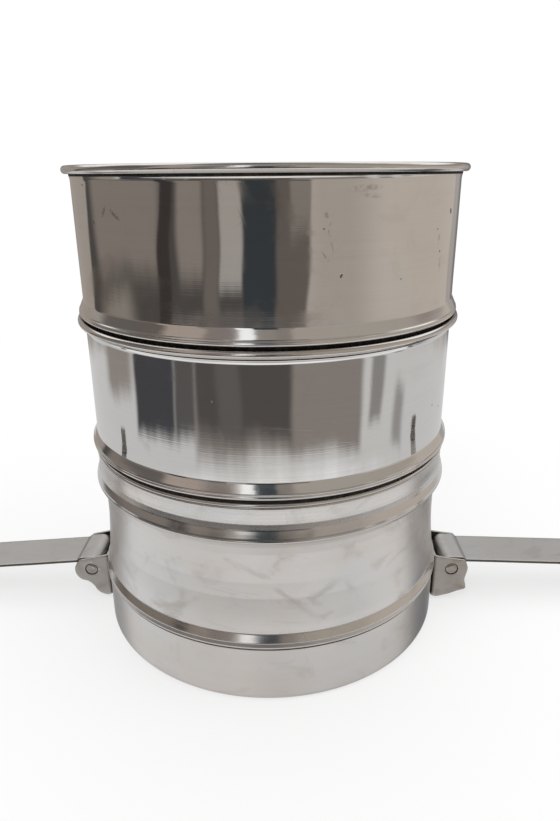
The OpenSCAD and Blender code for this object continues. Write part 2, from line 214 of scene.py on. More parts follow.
def inside(point, loop):
    x, y = point
    hit = False
    for i, (xi, yi) in enumerate(loop):
        xj, yj = loop[i - 1]
        if (yi > y) != (yj > y) and x < (xj - xi) * (y - yi) / (yj - yi) + xi:
            hit = not hit
    return hit


def bent_path(points, step=0.25):
    """Arc-length table of a filleted open path. Returns its length and at(distance), which
    gives the point and the unit normal on its left: x, y, normal x, normal y."""
    corners = [Vector(p[:2]) for p in rounded(points, fine=3.0)]
    line = [corners[0]]
    for a, b in zip(corners, corners[1:]):
        count = max(1, int((b - a).length / step))
        line += [a + (b - a) * (j / count) for j in range(1, count + 1)]
    line = [p for i, p in enumerate(line) if i == 0 or (p - line[i - 1]).length > 1e-6]
    run = np.cumsum([0.0] + [(b - a).length for a, b in zip(line, line[1:])])
    xs, ys = np.array([p.x for p in line]), np.array([p.y for p in line])
    angles = np.unwrap(np.arctan2(np.gradient(ys, run), np.gradient(xs, run)))

    def at(distance):
        angle = float(np.interp(distance, run, angles))
        x, y = float(np.interp(distance, run, xs)), float(np.interp(distance, run, ys))
        return x, y, -sin(angle), cos(angle)
    return at, float(run[-1])


# ------------------------------------------------------------------ meshes
# A part is (vertices, faces, face numbers). A face number picks the part's material slot.


def join_rings(a, b):
    """Faces between two rings of vertices. A ring on the axis repeats one vertex."""
    faces = []
    for j in range(len(a)):
        k = (j + 1) % len(a)
        if a[j] == a[k]:
            faces.append((a[j], b[k], b[j]))
        elif b[j] == b[k]:
            faces.append((a[j], a[k], b[j]))
        else:
            faces.append((a[j], a[k], b[k], b[j]))
    return faces


def lathe(path, segments=SEGMENTS, wobble=None, loop=False):
    """Turns (radius, z, face) about Z. wobble(angle, radius, z) is added to the radius.
    Going outwards along the underside first gives outward normals."""
    verts, rings = [], []
    angles = [2 * pi * j / segments for j in range(segments)]
    for radius, z, _ in path:
        base = len(verts)
        if radius < 1e-6:
            rings.append([base] * segments)
            verts.append((0.0, 0.0, z))
            continue
        for a in angles:
            r = radius + (wobble(a, radius, z) if wobble else 0.0)
            verts.append((r * cos(a), r * sin(a), z))
        rings.append(list(range(base, base + segments)))
    faces, numbers = [], []
    for i in range(len(path) if loop else len(path) - 1):
        faces += join_rings(rings[i], rings[(i + 1) % len(rings)])
        numbers += [path[i][2]] * segments
    return verts, faces, numbers


def wall_noise(seed, depth, wavelength):
    """Slow unevenness of a turned wall, as wobble(angle, radius, z)."""
    shift = Vector((seed * 7.3, seed * 3.1, seed * 5.7))

    def wobble(a, r, z):
        at = Vector((r * cos(a) / wavelength, r * sin(a) / wavelength, z / wavelength))
        return depth * noise.noise(at + shift)
    return wobble


def wall_wobble(seed, wavelength, low, high, min_radius):
    """Wall noise that fades in over 6 mm from the heights low and high."""
    uneven = wall_noise(seed, 0.10, wavelength)

    def wobble(a, r, z):
        up, down = (z - low) / 6.0, (high - z) / 6.0
        if up <= 0 or down <= 0 or r < min_radius:
            return 0.0
        k = min(1.0, up) * min(1.0, down)
        return uneven(a, r, z) * k * k * (3 - 2 * k)
    return wobble


EDGE_STEPS = 3


def sheet(outline, holes, thick, edge, xs, ys, bend):
    """A flat blank with rounded edges, bent by bend(along, y, lift), lift being the height
    above its mid face. outline: closed counter-clockwise loop. holes: (along, y, radius,
    segments, edge radius). xs, ys: grid lines inside the blank.
    Face numbers: 1 on the +lift side, 0 on the -lift side, 2 on the cut edge."""
    turns = [radians(90.0 * k / EDGE_STEPS) for k in range(EDGE_STEPS + 1)]
    rims = [([inset(outline, edge * (1 - cos(a))) for a in turns], edge)]
    for hx, hy, radius, count, hole_edge in holes:
        circle = [(cos(2 * pi * j / count), sin(2 * pi * j / count)) for j in range(count)]
        rows = []
        for a in turns:
            r = radius + hole_edge * (1 - cos(a))
            rows.append([(hx + r * x, hy + r * y) for x, y in circle])
        rims.append((rows, hole_edge))
    loops = [rows[-1] for rows, _ in rims]

    # triangulate the flat face between its rims
    points, edges = [], []
    for loop in loops:
        start, count = len(points), len(loop)
        points += [Vector(p) for p in loop]
        edges += [(start + i, start + (i + 1) % count) for i in range(count)]
    near = 0.35
    for x in xs:
        for y in ys:
            if not inside((x, y), loops[0]):
                continue
            if min(hypot(x - px, y - py) for px, py in loops[0]) < near:
                continue
            if not any(hypot(x - hx, y - hy) < r + e + near for hx, hy, r, _, e in holes):
                points.append(Vector((x, y)))
    flat, _, cells, origin, _, _ = geometry.delaunay_2d_cdt(points, edges, [], 1, 1e-5)
    placed = {source: i for i, sources in enumerate(origin) for source in sources}
    tris = []
    for cell in cells:
        a, b, c = (flat[i] for i in cell)
        middle = tuple((a + b + c) / 3)
        if inside(middle, loops[0]) and not any(inside(middle, loop) for loop in loops[1:]):
            tris.append(cell if (b - a).cross(c - a) > 0 else [cell[0], cell[2], cell[1]])
    verts = [bend(p.x, p.y, side * thick / 2) for side in (1, -1) for p in flat]
    under = len(flat)
    faces = [tuple(f) for f in tris] + [(f[0] + under, f[2] + under, f[1] + under) for f in tris]
    numbers = [1] * len(tris) + [0] * len(tris)

    # round every rim from the upper face to the lower one
    levels = [(k, 1) for k in reversed(range(EDGE_STEPS))] + [(k, -1) for k in range(EDGE_STEPS)]
    start = 0
    for rim, (rows, radius) in enumerate(rims):
        count = len(rows[0])
        heights = [thick / 2 - radius + radius * sin(a) for a in turns]
        chain = [[placed[start + i] for i in range(count)]]
        start += count
        for k, side in levels:
            base = len(verts)
            verts += [bend(x, y, side * heights[k]) for x, y in rows[k]]
            chain.append(range(base, base + count))
        chain.append([i + under for i in chain[0]])
        for row, (upper, lower) in enumerate(zip(chain, chain[1:])):
            for i in range(count):
                j = (i + 1) % count
                quad = (upper[i], lower[i], lower[j], upper[j])
                faces.append(quad if rim == 0 else quad[::-1])
            numbers += [1 if row == 0 else 0 if row == len(chain) - 2 else 2] * count
    return verts, faces, numbers


def moved(part, matrix):
    verts, faces, numbers = part
    return [tuple(matrix @ Vector(v)) for v in verts], faces, numbers


def merge(parts):
    verts, faces, numbers = [], [], []
    for part_verts, part_faces, part_numbers in parts:
        base = len(verts)
        verts += part_verts
        faces += [tuple(i + base for i in face) for face in part_faces]
        numbers += part_numbers
    return verts, faces, numbers


def new_object(name, part, metals):
    verts, faces, numbers = part
    mesh = bpy.data.meshes.new(name)
    mesh.from_pydata([tuple(c * MM for c in v) for v in verts], [], faces)
    for mat in metals:
        mesh.materials.append(mat)
    mesh.polygons.foreach_set("material_index", numbers)
    mesh.polygons.foreach_set("use_smooth", [True] * len(mesh.polygons))
    mesh.update()
    obj = bpy.data.objects.new(name, mesh)
    bpy.context.scene.collection.objects.link(obj)
    return obj


def clean_up(obj, quads):
    """Welds a mesh and points its normals outwards. quads: also joins triangle pairs."""
    bm = bmesh.new()
    bm.from_mesh(obj.data)
    bmesh.ops.remove_doubles(bm, verts=bm.verts, dist=1e-7)
    bmesh.ops.dissolve_degenerate(bm, edges=bm.edges, dist=1e-7)
    if quads:
        bmesh.ops.join_triangles(bm, faces=bm.faces, angle_face_threshold=0.2,
                                 angle_shape_threshold=0.6)
    bmesh.ops.recalc_face_normals(bm, faces=bm.faces)
    if bm.calc_volume(signed=True) < 0:
        bmesh.ops.reverse_faces(bm, faces=bm.faces)
    bm.to_mesh(obj.data)
    bm.free()
    obj.data.update()


def piece(name, part, metals, body, node, clean=False, quads=False):
    """Makes an object that moves with body and stands in for the CAD piece node."""
    obj = new_object(name, part, metals)
    if clean or quads:
        clean_up(obj, quads)
    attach(obj, body)
    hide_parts(node)


# ------------------------------------------------------------------ shader node tools


class Net:
    """Adds nodes to a tree. Every call takes numbers or sockets and returns a socket."""

    def __init__(self, tree):
        self.tree = tree
        tree.nodes.clear()

    def put(self, kind, inputs={}, out=0, **settings):
        node = self.tree.nodes.new("ShaderNode" + kind)
        for key, value in settings.items():
            setattr(node, key, value)
        for key, value in inputs.items():
            if isinstance(value, bpy.types.NodeSocket):
                self.tree.links.new(value, node.inputs[key])
            elif value is not None:
                node.inputs[key].default_value = value
        return node.outputs[out] if len(node.outputs) else None

    def math(self, operation, a, b, c=None, clamp=False):
        return self.put("Math", {0: a, 1: b, 2: c}, operation=operation, use_clamp=clamp)

    def mul(self, a, b, clamp=False):
        return self.math("MULTIPLY", a, b, clamp=clamp)

    def madd(self, a, factor, added, clamp=False):
        return self.math("MULTIPLY_ADD", a, factor, added, clamp)

    def invert(self, value):
        return self.math("SUBTRACT", 1.0, value)

    def ramp(self, value, low, high):
        """Smooth step from 0 at low to 1 at high."""
        return self.put("MapRange", {"Value": value, "From Min": low, "From Max": high,
                                     "To Min": 0.0, "To Max": 1.0},
                        interpolation_type="SMOOTHSTEP")

    def mix(self, factor, a, b, blend="MIX"):
        a, b = (c if isinstance(c, bpy.types.NodeSocket) else (*c, 1.0) for c in (a, b))
        return self.put("Mix", {0: factor, 6: a, 7: b}, out=2, data_type="RGBA",
                        blend_type=blend)

    def noise(self, vector, scale, detail=2.0, rough=0.5, twist=0.0):
        return self.put("TexNoise", {"Vector": vector, "Scale": scale, "Detail": detail,
                                     "Roughness": rough, "Distortion": twist})

    def mapped(self, vector, scale=(1, 1, 1), offset=(0, 0, 0), tilt=0):
        """tilt: degrees about the vector's third axis."""
        return self.put("Mapping", {"Vector": vector, "Location": offset,
                                    "Rotation": (0, 0, radians(tilt)), "Scale": scale})

    def bump(self, height, strength, distance, normal=None):
        return self.put("Bump", {"Height": height, "Strength": strength, "Distance": distance,
                                 "Normal": normal})


def new_material(name):
    mat = bpy.data.materials.new(name)
    mat.use_nodes = True
    return mat, Net(mat.node_tree)


def tinted(base, factors):
    return tuple(b * f for b, f in zip(base, factors))


ARC_R = 0.075      # metres: the radius at which bearings become arc lengths


def wall_vector(net, local):
    """(arc length round Z, height) of a surface point. Arc length 0 faces the front."""
    axes = net.put("SeparateXYZ", {0: local}).node.outputs
    bearing = net.math("ARCTAN2", axes[0], net.mul(axes[1], -1.0))
    return net.put("CombineXYZ", {0: net.mul(bearing, ARC_R), 1: axes[2], 2: 0.0})


def scratches(net, wall, seed, angle, per_m, cut, stretch):
    """Thin broken lines in one direction: 1 on a scratch, 0 elsewhere."""
    along = net.mapped(wall, tilt=angle)
    along = net.mapped(along, (per_m / stretch, per_m, 1), (seed * 1.7, seed * 2.3, 0))
    return net.ramp(net.noise(along, scale=1.0, detail=1.0, rough=0.4), cut, cut + 0.035)


def pits(net, local, seed, per_m, size, share):
    """Small round specks, few and far between: 1 inside a speck."""
    vector = net.mapped(local, offset=(seed * 0.013, seed * 0.017, seed * 0.011))
    cells = net.put("TexVoronoi", {"Vector": vector, "Scale": per_m}).node.outputs
    chance = net.put("SeparateColor", {0: cells["Color"]}).node.outputs
    width = net.madd(chance[1], size * per_m * 0.8, size * per_m * 0.35)
    ragged = net.madd(net.noise(vector, scale=per_m * 14), 0.35, 0.8)
    distance = net.math("DIVIDE", cells["Distance"], net.mul(width, ragged))
    near = net.invert(net.ramp(distance, 0.75, 1.05))
    return net.mul(near, net.math("LESS_THAN", chance[0], share))


def blot(net, wall, soft, bearing, z, half_width, half_height, tilt):
    """A soft oval on a wall, bearing in degrees (0 faces the front), sizes in mm: 1 inside,
    0 outside. soft: where it starts and ends to fade, 1 being the oval's edge."""
    vector = net.put("VectorMath", {0: wall, 1: (radians(bearing) * ARC_R, z * MM, 0)},
                     operation="SUBTRACT")
    if tilt:
        vector = net.mapped(vector, tilt=tilt)
    sizes = (1 / (half_width * MM), 1 / (half_height * MM), 0)
    vector = net.put("VectorMath", {0: vector, 1: sizes}, operation="MULTIPLY")
    distance = net.put("VectorMath", {0: vector}, out=1, operation="LENGTH")
    return net.invert(net.ramp(distance, *soft))


# ------------------------------------------------------------------ worn metal

# colour factors on the base metal
WARM = (1.0, 0.56 / 0.62, 0.50 / 0.62)
STAINED = (0.80, 0.74, 0.67)
WORN = (0.42, 0.34, 0.27)
SCRATCHED = (0.55, 0.55, 0.55)
# seed step, angle in degrees, lines per metre, noise threshold, stretch
SCRATCHES = ((1, 68, 900.0, 0.70, 30), (4, -35, 1100.0, 0.715, 24), (9, 8, 1500.0, 0.69, 46))


def all_specks(net, local, wall, seed, pit, spots):
    specks = pits(net, local, seed, *pit)
    for spot in spots:
        specks = net.math("MAXIMUM", specks, blot(net, wall, (0.75, 1.1), *spot))
    return specks


def worn_patches(net, local, wall, patches):
    worn = None
    for *oval, share in patches:
        patch = net.mul(blot(net, wall, (0.3, 1.1), *oval), share)
        worn = patch if worn is None else net.math("MAXIMUM", worn, patch)
    broken = net.ramp(net.noise(local, scale=620.0, detail=3.0, rough=0.6), 0.36, 0.58)
    return net.mul(worn, broken)


def edge_dirt(net, base, colour, rough, prints, dirt):
    """Dirt in the hollows and a brighter, smoother wear on the edges."""
    pointed = net.put("NewGeometry", out="Pointiness")
    low = net.invert(net.ramp(pointed, 0.40, 0.495))
    hollow = net.mul(net.madd(prints, 0.5, 0.6), net.mul(low, dirt), clamp=True)
    colour = net.mix(hollow, colour, (0.10, 0.085, 0.07))
    high = net.ramp(pointed, 0.505, 0.56)
    colour = net.mix(net.mul(high, 0.55), colour, tuple(min(0.9, b * 1.45) for b in base))
    rough = net.madd(high, -0.14, net.madd(hollow, 0.2, rough), clamp=True)
    return colour, rough


def painted_corner_shade(net, colour, rough, near, depth):
    """Painted shade: darkens the colour of what lies within near mm of other metal."""
    is_open = net.put("AmbientOcclusion", {"Distance": near * MM}, out="AO", samples=4)
    hidden = net.mul(net.invert(net.ramp(is_open, 0.22, 0.86)), depth)
    colour = net.mix(hidden, colour, (0.012, 0.010, 0.009))
    return colour, net.madd(hidden, 0.25, rough, clamp=True)


def metal(name, *, base, rough, grain, line_scale, line_bump, blotch, smear, pit, scratch, seed,
          tint=0.35, aniso=0.0, wave=0.0, turned=True, dirt=0.0, ao=None, patches=(), spots=()):
    """Worn sheet metal. grain: colour contrast of the tool lines. line_scale: lines per metre.
    line_bump: their relief. blotch: how far stains darken. smear: how much stains and
    fingerprints roughen. pit: specks as (cells per metre, size in metres, share of cells).
    tint: share of warm tarnish. wave: depth in metres of the polish's slow unevenness.
    turned: lines run round the Z axis. dirt: in the hollows. ao: dark corners, as (distance
    in mm, depth). patches and spots: worn and pitted ovals on a wall."""
    mat, net = new_material(name)
    local = net.put("TexCoord", out="Object")
    wall = wall_vector(net, local)
    if turned:
        fine_scale, wide_scale = (14, 14, line_scale), (7, 7, line_scale * 0.16)
    else:
        fine_scale, wide_scale = (26, line_scale, 78), (12, line_scale * 0.16, 40)
    fine = net.mapped(local, fine_scale, (seed, seed * 2, seed * 3))
    wide = net.mapped(local, wide_scale, (seed * 2, seed, seed * 3))
    fine = net.noise(fine, scale=1.0, detail=2.0, rough=0.6)
    wide = net.noise(wide, scale=1.0, detail=2.0, rough=0.55)
    lines = net.madd(wide, 0.45, net.mul(fine, 0.55))
    soft = net.noise(net.mapped(local, offset=(seed * 0.31, seed * 0.17, seed * 0.23)),
                     scale=28.0, detail=3.0, rough=0.55, twist=0.6)
    stain = net.noise(net.mapped(local, (1, 1, 1.25), (seed * 0.51, seed * 0.37, 0)),
                      scale=46.0, detail=4.0, rough=0.6, twist=1.2)
    stain = net.ramp(stain, 0.50, 0.68)
    prints = net.noise(net.mapped(local, offset=(0, seed * 0.77, seed * 0.41)),
                       scale=95.0, detail=5.0, rough=0.65, twist=0.8)
    prints = net.ramp(prints, 0.55, 0.72)

    # colour
    colour = net.mix(net.mul(net.ramp(soft, 0.35, 0.7), tint), base, tinted(base, WARM))
    colour = net.mix(net.mul(stain, blotch), colour, tinted(base, STAINED))
    shade = net.madd(net.math("SUBTRACT", lines, 0.5), grain, 1.0)
    shade = net.put("CombineXYZ", {0: shade, 1: shade, 2: shade})
    colour = net.mix(1.0, colour, shade, "MULTIPLY")

    # marks
    first, second, third = (scratches(net, wall, seed + step, *row) for step, *row in SCRATCHES)
    marks = net.math("MAXIMUM", net.math("MAXIMUM", first, second), third)
    marks = net.mul(marks, net.mul(net.ramp(soft, 0.4, 0.62), scratch))
    colour = net.mix(net.mul(marks, 0.45), colour, tinted(base, SCRATCHED))
    specks = all_specks(net, local, wall, seed, pit, spots)
    if patches:
        worn = worn_patches(net, local, wall, patches)
        colour = net.mix(worn, colour, tinted(base, WORN))
    colour = net.mix(net.mul(specks, 0.92), colour, (0.035, 0.025, 0.018))
    metallic = net.madd(specks, -0.8, 1.0)

    # roughness
    rough = net.madd(stain, smear, rough)
    rough = net.madd(prints, smear * 0.5, rough)
    rough = net.madd(net.math("SUBTRACT", lines, 0.5), 0.10 * grain, rough)
    rough = net.madd(marks, 0.22, rough)
    if patches:
        rough = net.madd(worn, 0.22, rough)
    rough = net.madd(specks, 0.4, rough, clamp=True)
    if dirt:
        colour, rough = edge_dirt(net, base, colour, rough, prints, dirt)
    # ao: painted shade, the colour darkened in corners found by ambient occlusion
    if ao:
        colour, rough = painted_corner_shade(net, colour, rough, *ao)

    # relief
    normal = None
    if wave:
        slow = net.mapped(local, (1, 1, 0.45), (seed, 0, 0))
        slow = net.noise(slow, scale=42.0, detail=1.0, rough=0.4)
        normal = net.bump(slow, strength=1.0, distance=wave)
    normal = net.bump(lines, line_bump, distance=0.00006, normal=normal)
    sunk = net.madd(marks, -0.6, net.mul(specks, -1.6))
    normal = net.bump(sunk, strength=0.6, distance=0.0001, normal=normal)
    tangent = net.put("Tangent", direction_type="RADIAL", axis="Z") if aniso else None
    surface = net.put("BsdfPrincipled", {
        "Base Color": colour, "Metallic": metallic, "Roughness": rough, "Normal": normal,
        "Anisotropic": aniso, "Tangent": tangent})
    net.put("OutputMaterial", {0: surface})
    return mat


# Ovals on the walls: bearing in degrees, z, half width and half height in mm, tilt in degrees.
TOP_SPOTS = [
    (19.2, 162.5, 0.50, 0.80, 25), (14.7, 176.7, 0.32, 0.32, 0), (60.2, 179.7, 0.85, 1.15, -35),
    (54.1, 166.8, 0.42, 0.5, 0), (51.8, 174.4, 0.36, 0.34, 0), (37.0, 159.8, 0.26, 0.26, 0),
    (-54.0, 189.1, 0.45, 0.4, 0)]
MID_SPOTS = [
    (57.2, 109.1, 0.4, 0.35, 0), (63.5, 106.1, 0.45, 0.4, 0), (28.4, 90.8, 0.4, 0.4, 0),
    (-13.0, 122.1, 0.25, 0.25, 0)]
# The same, followed by a strength.
TOP_PATCHES = [
    (15.3, 180.6, 1.0, 1.2, 0, 0.5), (16.2, 177.6, 0.5, 3.6, 14, 0.5),
    (16.5, 172.6, 0.5, 3.6, -14, 0.5), (15.2, 168.4, 0.45, 2.6, -35, 0.45),
    (25.0, 188.1, 7.0, 1.3, -3, 0.45), (26.8, 185.9, 4.5, 0.9, 5, 0.35),
    (-43.6, 181.0, 2.8, 0.8, -50, 0.85), (-39.0, 180.3, 3.4, 0.9, 35, 0.85),
    (-49.5, 177.5, 1.8, 0.8, 15, 0.7), (53.0, 171.0, 1.2, 2.4, 0, 0.4),
    (54.6, 162.5, 1.0, 3.2, 0, 0.4)]

STEEL = (0.735, 0.72, 0.695)
# what the two mirror walls share, and what the two bands share
POLISHED = dict(grain=0.12, line_scale=2400, aniso=0.4, scratch=0.035, ao=(2.2, 0.85))
BANDS = dict(smear=0.08, aniso=0.3, pit=(80.0, 0.0005, 0.06), scratch=0.15, ao=(1.6, 0.9))

TOP_WALL = metal(
    "polished_wall", base=STEEL, rough=0.045, blotch=0.20, smear=0.08, pit=(55.0, 0.0006, 0.08),
    wave=0.00035, seed=3, line_bump=0.11, spots=TOP_SPOTS, patches=TOP_PATCHES, **POLISHED)
MID_WALL = metal(
    "polished_wall_middle", base=(0.745, 0.735, 0.72), rough=0.042, blotch=0.12, smear=0.06,
    pit=(60.0, 0.0005, 0.07), wave=0.0003, seed=8, line_bump=0.09, tint=0.15, spots=MID_SPOTS,
    **POLISHED)
BAND = metal(
    "polished_band", base=(0.72, 0.71, 0.69), rough=0.09, grain=0.14, line_scale=1800,
    blotch=0.15, seed=5, line_bump=0.14, **BANDS)
WORN_BAND = metal(
    "worn_band", base=(0.70, 0.69, 0.67), rough=0.14, grain=0.18, line_scale=1700, blotch=0.2,
    seed=6, line_bump=0.2, **BANDS)
BEAD = metal(
    "rolled_bead", base=(0.66, 0.64, 0.615), rough=0.11, grain=0.10, line_scale=900,
    blotch=0.45, smear=0.14, pit=(70.0, 0.0006, 0.16), scratch=0.2, seed=6, line_bump=0.12,
    ao=(1.5, 0.95))
SATIN = metal(
    "satin_wall", base=(0.71, 0.70, 0.685), rough=0.31, grain=0.08, line_scale=1700,
    blotch=0.42, smear=0.08, aniso=0.2, pit=(62.0, 0.0006, 0.16), scratch=0.14, wave=0.00022,
    seed=7, line_bump=0.16, tint=0.40, ao=(2.0, 0.85))
COLLAR = metal(
    "brushed_collar", base=(0.69, 0.68, 0.665), rough=0.27, grain=0.34, line_scale=1500,
    blotch=0.18, smear=0.05, aniso=0.35, pit=(62.0, 0.0005, 0.14), scratch=0.12, seed=9,
    line_bump=0.35, tint=0.4, ao=(1.6, 0.85))
INSIDE = metal(
    "inside_wall", base=(0.76, 0.75, 0.73), rough=0.25, grain=0.16, line_scale=1300,
    blotch=0.16, smear=0.06, aniso=0.3, pit=(55.0, 0.0006, 0.05), scratch=0.2, wave=0.0002,
    seed=12, line_bump=0.25)
UNDERSIDE = metal(
    "underside", base=(0.60, 0.59, 0.575), rough=0.38, grain=0.18, line_scale=1200,
    blotch=0.40, smear=0.08, pit=(55.0, 0.0008, 0.2), scratch=0.5, seed=14, line_bump=0.25)
LID_FACE = metal(
    "lid_face", base=(0.71, 0.70, 0.68), rough=0.15, grain=0.12, line_scale=900, blotch=0.28,
    smear=0.12, aniso=0.35, pit=(55.0, 0.0007, 0.12), scratch=0.35, wave=0.0003, seed=17,
    line_bump=0.14, ao=(2.5, 0.7))
STRAP = metal(
    "strap_steel", base=(0.47, 0.46, 0.445), rough=0.45, grain=0.12, line_scale=700,
    blotch=0.28, smear=0.06, pit=(90.0, 0.0005, 0.14), scratch=0.4, seed=19, turned=False,
    line_bump=0.22, tint=0.4, dirt=0.4, ao=(3.2, 0.95))
# cut edges of straps and hooks: rough sheared steel, made near-black as painted shade on these
# narrow side faces
SHEARED_SHADE = metal(
    "sheared_edge_shade", base=(0.17, 0.16, 0.15), rough=0.5, grain=0.4, line_scale=500, blotch=0.4,
    smear=0.06, pit=(90.0, 0.0005, 0.2), scratch=0.3, seed=20, turned=False, line_bump=0.4,
    tint=0.5)
EAR = metal(
    "bracket_steel", base=(0.49, 0.468, 0.435), rough=0.44, grain=0.10, line_scale=500,
    blotch=0.38, smear=0.07, pit=(150.0, 0.0004, 0.16), scratch=0.4, seed=23, turned=False,
    line_bump=0.22, tint=0.45, dirt=0.4, ao=(2.6, 0.9))
RIVET = metal(
    "rivet_metal", base=(0.42, 0.395, 0.36), rough=0.36, grain=0.05, line_scale=500, blotch=0.5,
    smear=0.1, pit=(200.0, 0.0003, 0.2), scratch=0.4, seed=27, turned=False, line_bump=0.2,
    dirt=0.4, ao=(1.4, 0.95))
WIRE = metal(
    "wire_steel", base=(0.64, 0.63, 0.61), rough=0.15, grain=0.08, line_scale=700, blotch=0.3,
    smear=0.14, pit=(120.0, 0.0005, 0.12), scratch=0.35, seed=31, turned=False, line_bump=0.12,
    ao=(2.0, 0.8))


def painted_shade(name, dark, light):
    """Near-black painted shade for faces in gaps and hollows where shade falls; a noise makes it
    patchy.
    """
    mat, net = new_material(name)
    patchy = net.noise(net.put("TexCoord", out="Object"), scale=420.0, detail=4.0, rough=0.6)
    surface = net.put("BsdfPrincipled", {
        "Base Color": net.mix(net.ramp(patchy, 0.4, 0.75), dark, light),
        "Metallic": 0.2, "Specular IOR Level": 0.25,
        "Roughness": net.madd(patchy, 0.3, 0.55),
        "Normal": net.bump(patchy, strength=0.4, distance=0.0002)})
    net.put("OutputMaterial", {0: surface})
    return mat


# painted shade: near-black faces in the gaps between tiers and under the beads
CREVICE_SHADE = painted_shade("crevice_shade", dark=(0.006, 0.005, 0.005), light=(0.030, 0.026, 0.022))
HOLLOW_SHADE = painted_shade("bracket_hollow_shade", dark=(0.016, 0.013, 0.011), light=(0.085, 0.070, 0.056))

# ------------------------------------------------------------------ containers
# Profiles are (radius, z, fillet) points, from the middle of the underside outwards, up the
# outside and back down the inside. These are their face numbers:
# HIDDEN faces, in the gaps between tiers and under the rolled edges, get slot 5: near-black painted
# shade
BELOW, OUTER, ROLLED, INNER, BANDED, HIDDEN, COLLARED = range(7)


def upper_tier(name, rim, height, seat_z, body, wall_metal, seed, node):
    """seat_z: height of the 45 degree seating cone at SEAT_R, from the rim."""
    foot_r, foot_z = WALL_R - 1.4, -height - DROP
    flared = [-5.3 + 0.25 * k for k in range(7)]      # the wall opens just below the bead
    profile = on(BELOW, [
        (0, foot_z + 0.5, 0), (58.5, foot_z + 0.5, 0.5), (60, foot_z, 0.6),
        (foot_r, foot_z, 2.2), (foot_r, seat_z + foot_r - SEAT_R, 0.25)])
    profile += on(HIDDEN, [(WALL_R + 0.5, seat_z + WALL_R + 0.5 - SEAT_R, 0.12),
                           (WALL_R + 0.5, -height - 0.3, 0.1)])
    profile += on(BANDED, [
        (0.8, 0, 0.1), *arc(1.1, 0.9, 0.9, -90, 40, 14), (1.85, 1.85, 0.12), (1.52, 2.2, 0.10),
        (1.5, 2.45, 0.2), (0.85, 3.9, 3)], WALL_R, -height)
    profile += on(OUTER, [(0.1, 5.45, 0.35), (0, 5.9, 0.35)], WALL_R, -height)
    profile += on(OUTER, [(0.24 * ((z + 5.3) / 1.5) ** 2, z, 0) for z in flared], WALL_R)
    # the crevice under the bead: a strip of near-black painted shade
    profile += on(HIDDEN, [(0.25, -3.7, 0), (0.36, -3.2, 0.15), (0.33, -2.44, 0)], WALL_R)
    profile += on(ROLLED, arc(BEAD_C, -BEAD_R, BEAD_R, -138, 180, 40))
    profile += on(INNER, [(SEAT_R - 0.425, -BEAD_R - 0.7, 0.3)])
    profile += on(INNER, [
        (0.66, -2.9, 0.5), (0.42, -3.9, 2), (0.2, -5.3, 3), (0, -9, 6), (0, -height + 1.6, 2)],
        WALL_R - SHEET)
    profile += on(INNER, [
        (foot_r - SHEET, -height - 1.2, 1.5), (foot_r - SHEET, foot_z + SHEET, 1.6),
        (59.7, foot_z + SHEET, 0.6), (58.2, foot_z + 0.5 + SHEET, 0.5),
        (0, foot_z + 0.5 + SHEET, 0)])
    path = [(r, z + rim, face) for r, z, face in held(rounded(profile))]
    wobble = wall_wobble(seed, 34.0, rim - height + 6.5, rim - 7.0, WALL_R - 3)
    piece(name, lathe(path, wobble=wobble), [UNDERSIDE, wall_metal, BEAD, INSIDE, BAND, CREVICE_SHADE],
          body, node)


upper_tier("top_container_body", TOP_RIM, TOP_H, MID_RIM + SEAT_DZ - TOP_RIM + SEAT_GAP,
           "top_tier", TOP_WALL, 4, "top_container")
upper_tier("middle_container_body", MID_RIM, MID_H,
           LOW_SEAT_Z + SEAT_R - LOW_SEAT_R - MID_RIM + SEAT_GAP,
           "middle_tier", MID_WALL, 9, "middle_container")

# The lowest container, as (radius from WALL_R, z from LOW_RIM, fillet)
LOW_PROFILE = [
    (OUTER, arc(1.25, -59.8, 1, -65, 25, 12)),
    (BANDED, [(1.88, -58.3, 0.1), (1.9, -58.0, 0.15), (1.25, -56.6, 3)]),
    (OUTER, [(0.6, -55.2, 0.25), (0.5, -54.8, 0.3), (0.25, -51.4, 9), (-0.22, -46, 14),
             (-0.72, -40, 16), (-1.05, -33.5, 16), (-1.1, -27.5, 16), (-0.98, -21.5, 9),
             (-0.75, -18.3, 3), (-0.5, -17.0, 1.2)]),
    (BANDED, [(-0.1, -16.4, 0.8), (0.3, -16.0, 0.3), *arc(1.15, -14.6, 1, -75, 30, 14),
              (1.9, -13.3, 0.4), (1.4, -11.8, 2.5), (1.02, -10.7, 0.5)]),
    (COLLARED, [(0.9, -10.2, 0.6), (0.62, -8.2, 2.5), (0.62, -6.6, 3), (0.7, -4.5, 3),
                (0.72, -2.1, 0.6)]),
    (HIDDEN, [(0.56, -1.62, 0.15)]),
    (ROLLED, [(0.46, -1.46, 0), *arc(0.45, -LOW_EDGE, LOW_EDGE, -80, 180, 26)]),
    (INNER, [(-0.2, -2, 0.6), (-0.25, -4.5, 4), (-0.35, -7.2, 2), (-0.3, -8.3, 1),
             (-0.1, -12, 2), (-0.6, -14.2, 1.2), (-1.65, -17.3, 2), (-1.88, -21.5, 9),
             (-2.0, -27.5, 16), (-1.95, -33.5, 16), (-1.62, -40, 16), (-1.12, -46, 14),
             (-0.65, -51.4, 9), (-0.4, -54.9, 2), (-0.35, -57.4, 1)]),
]


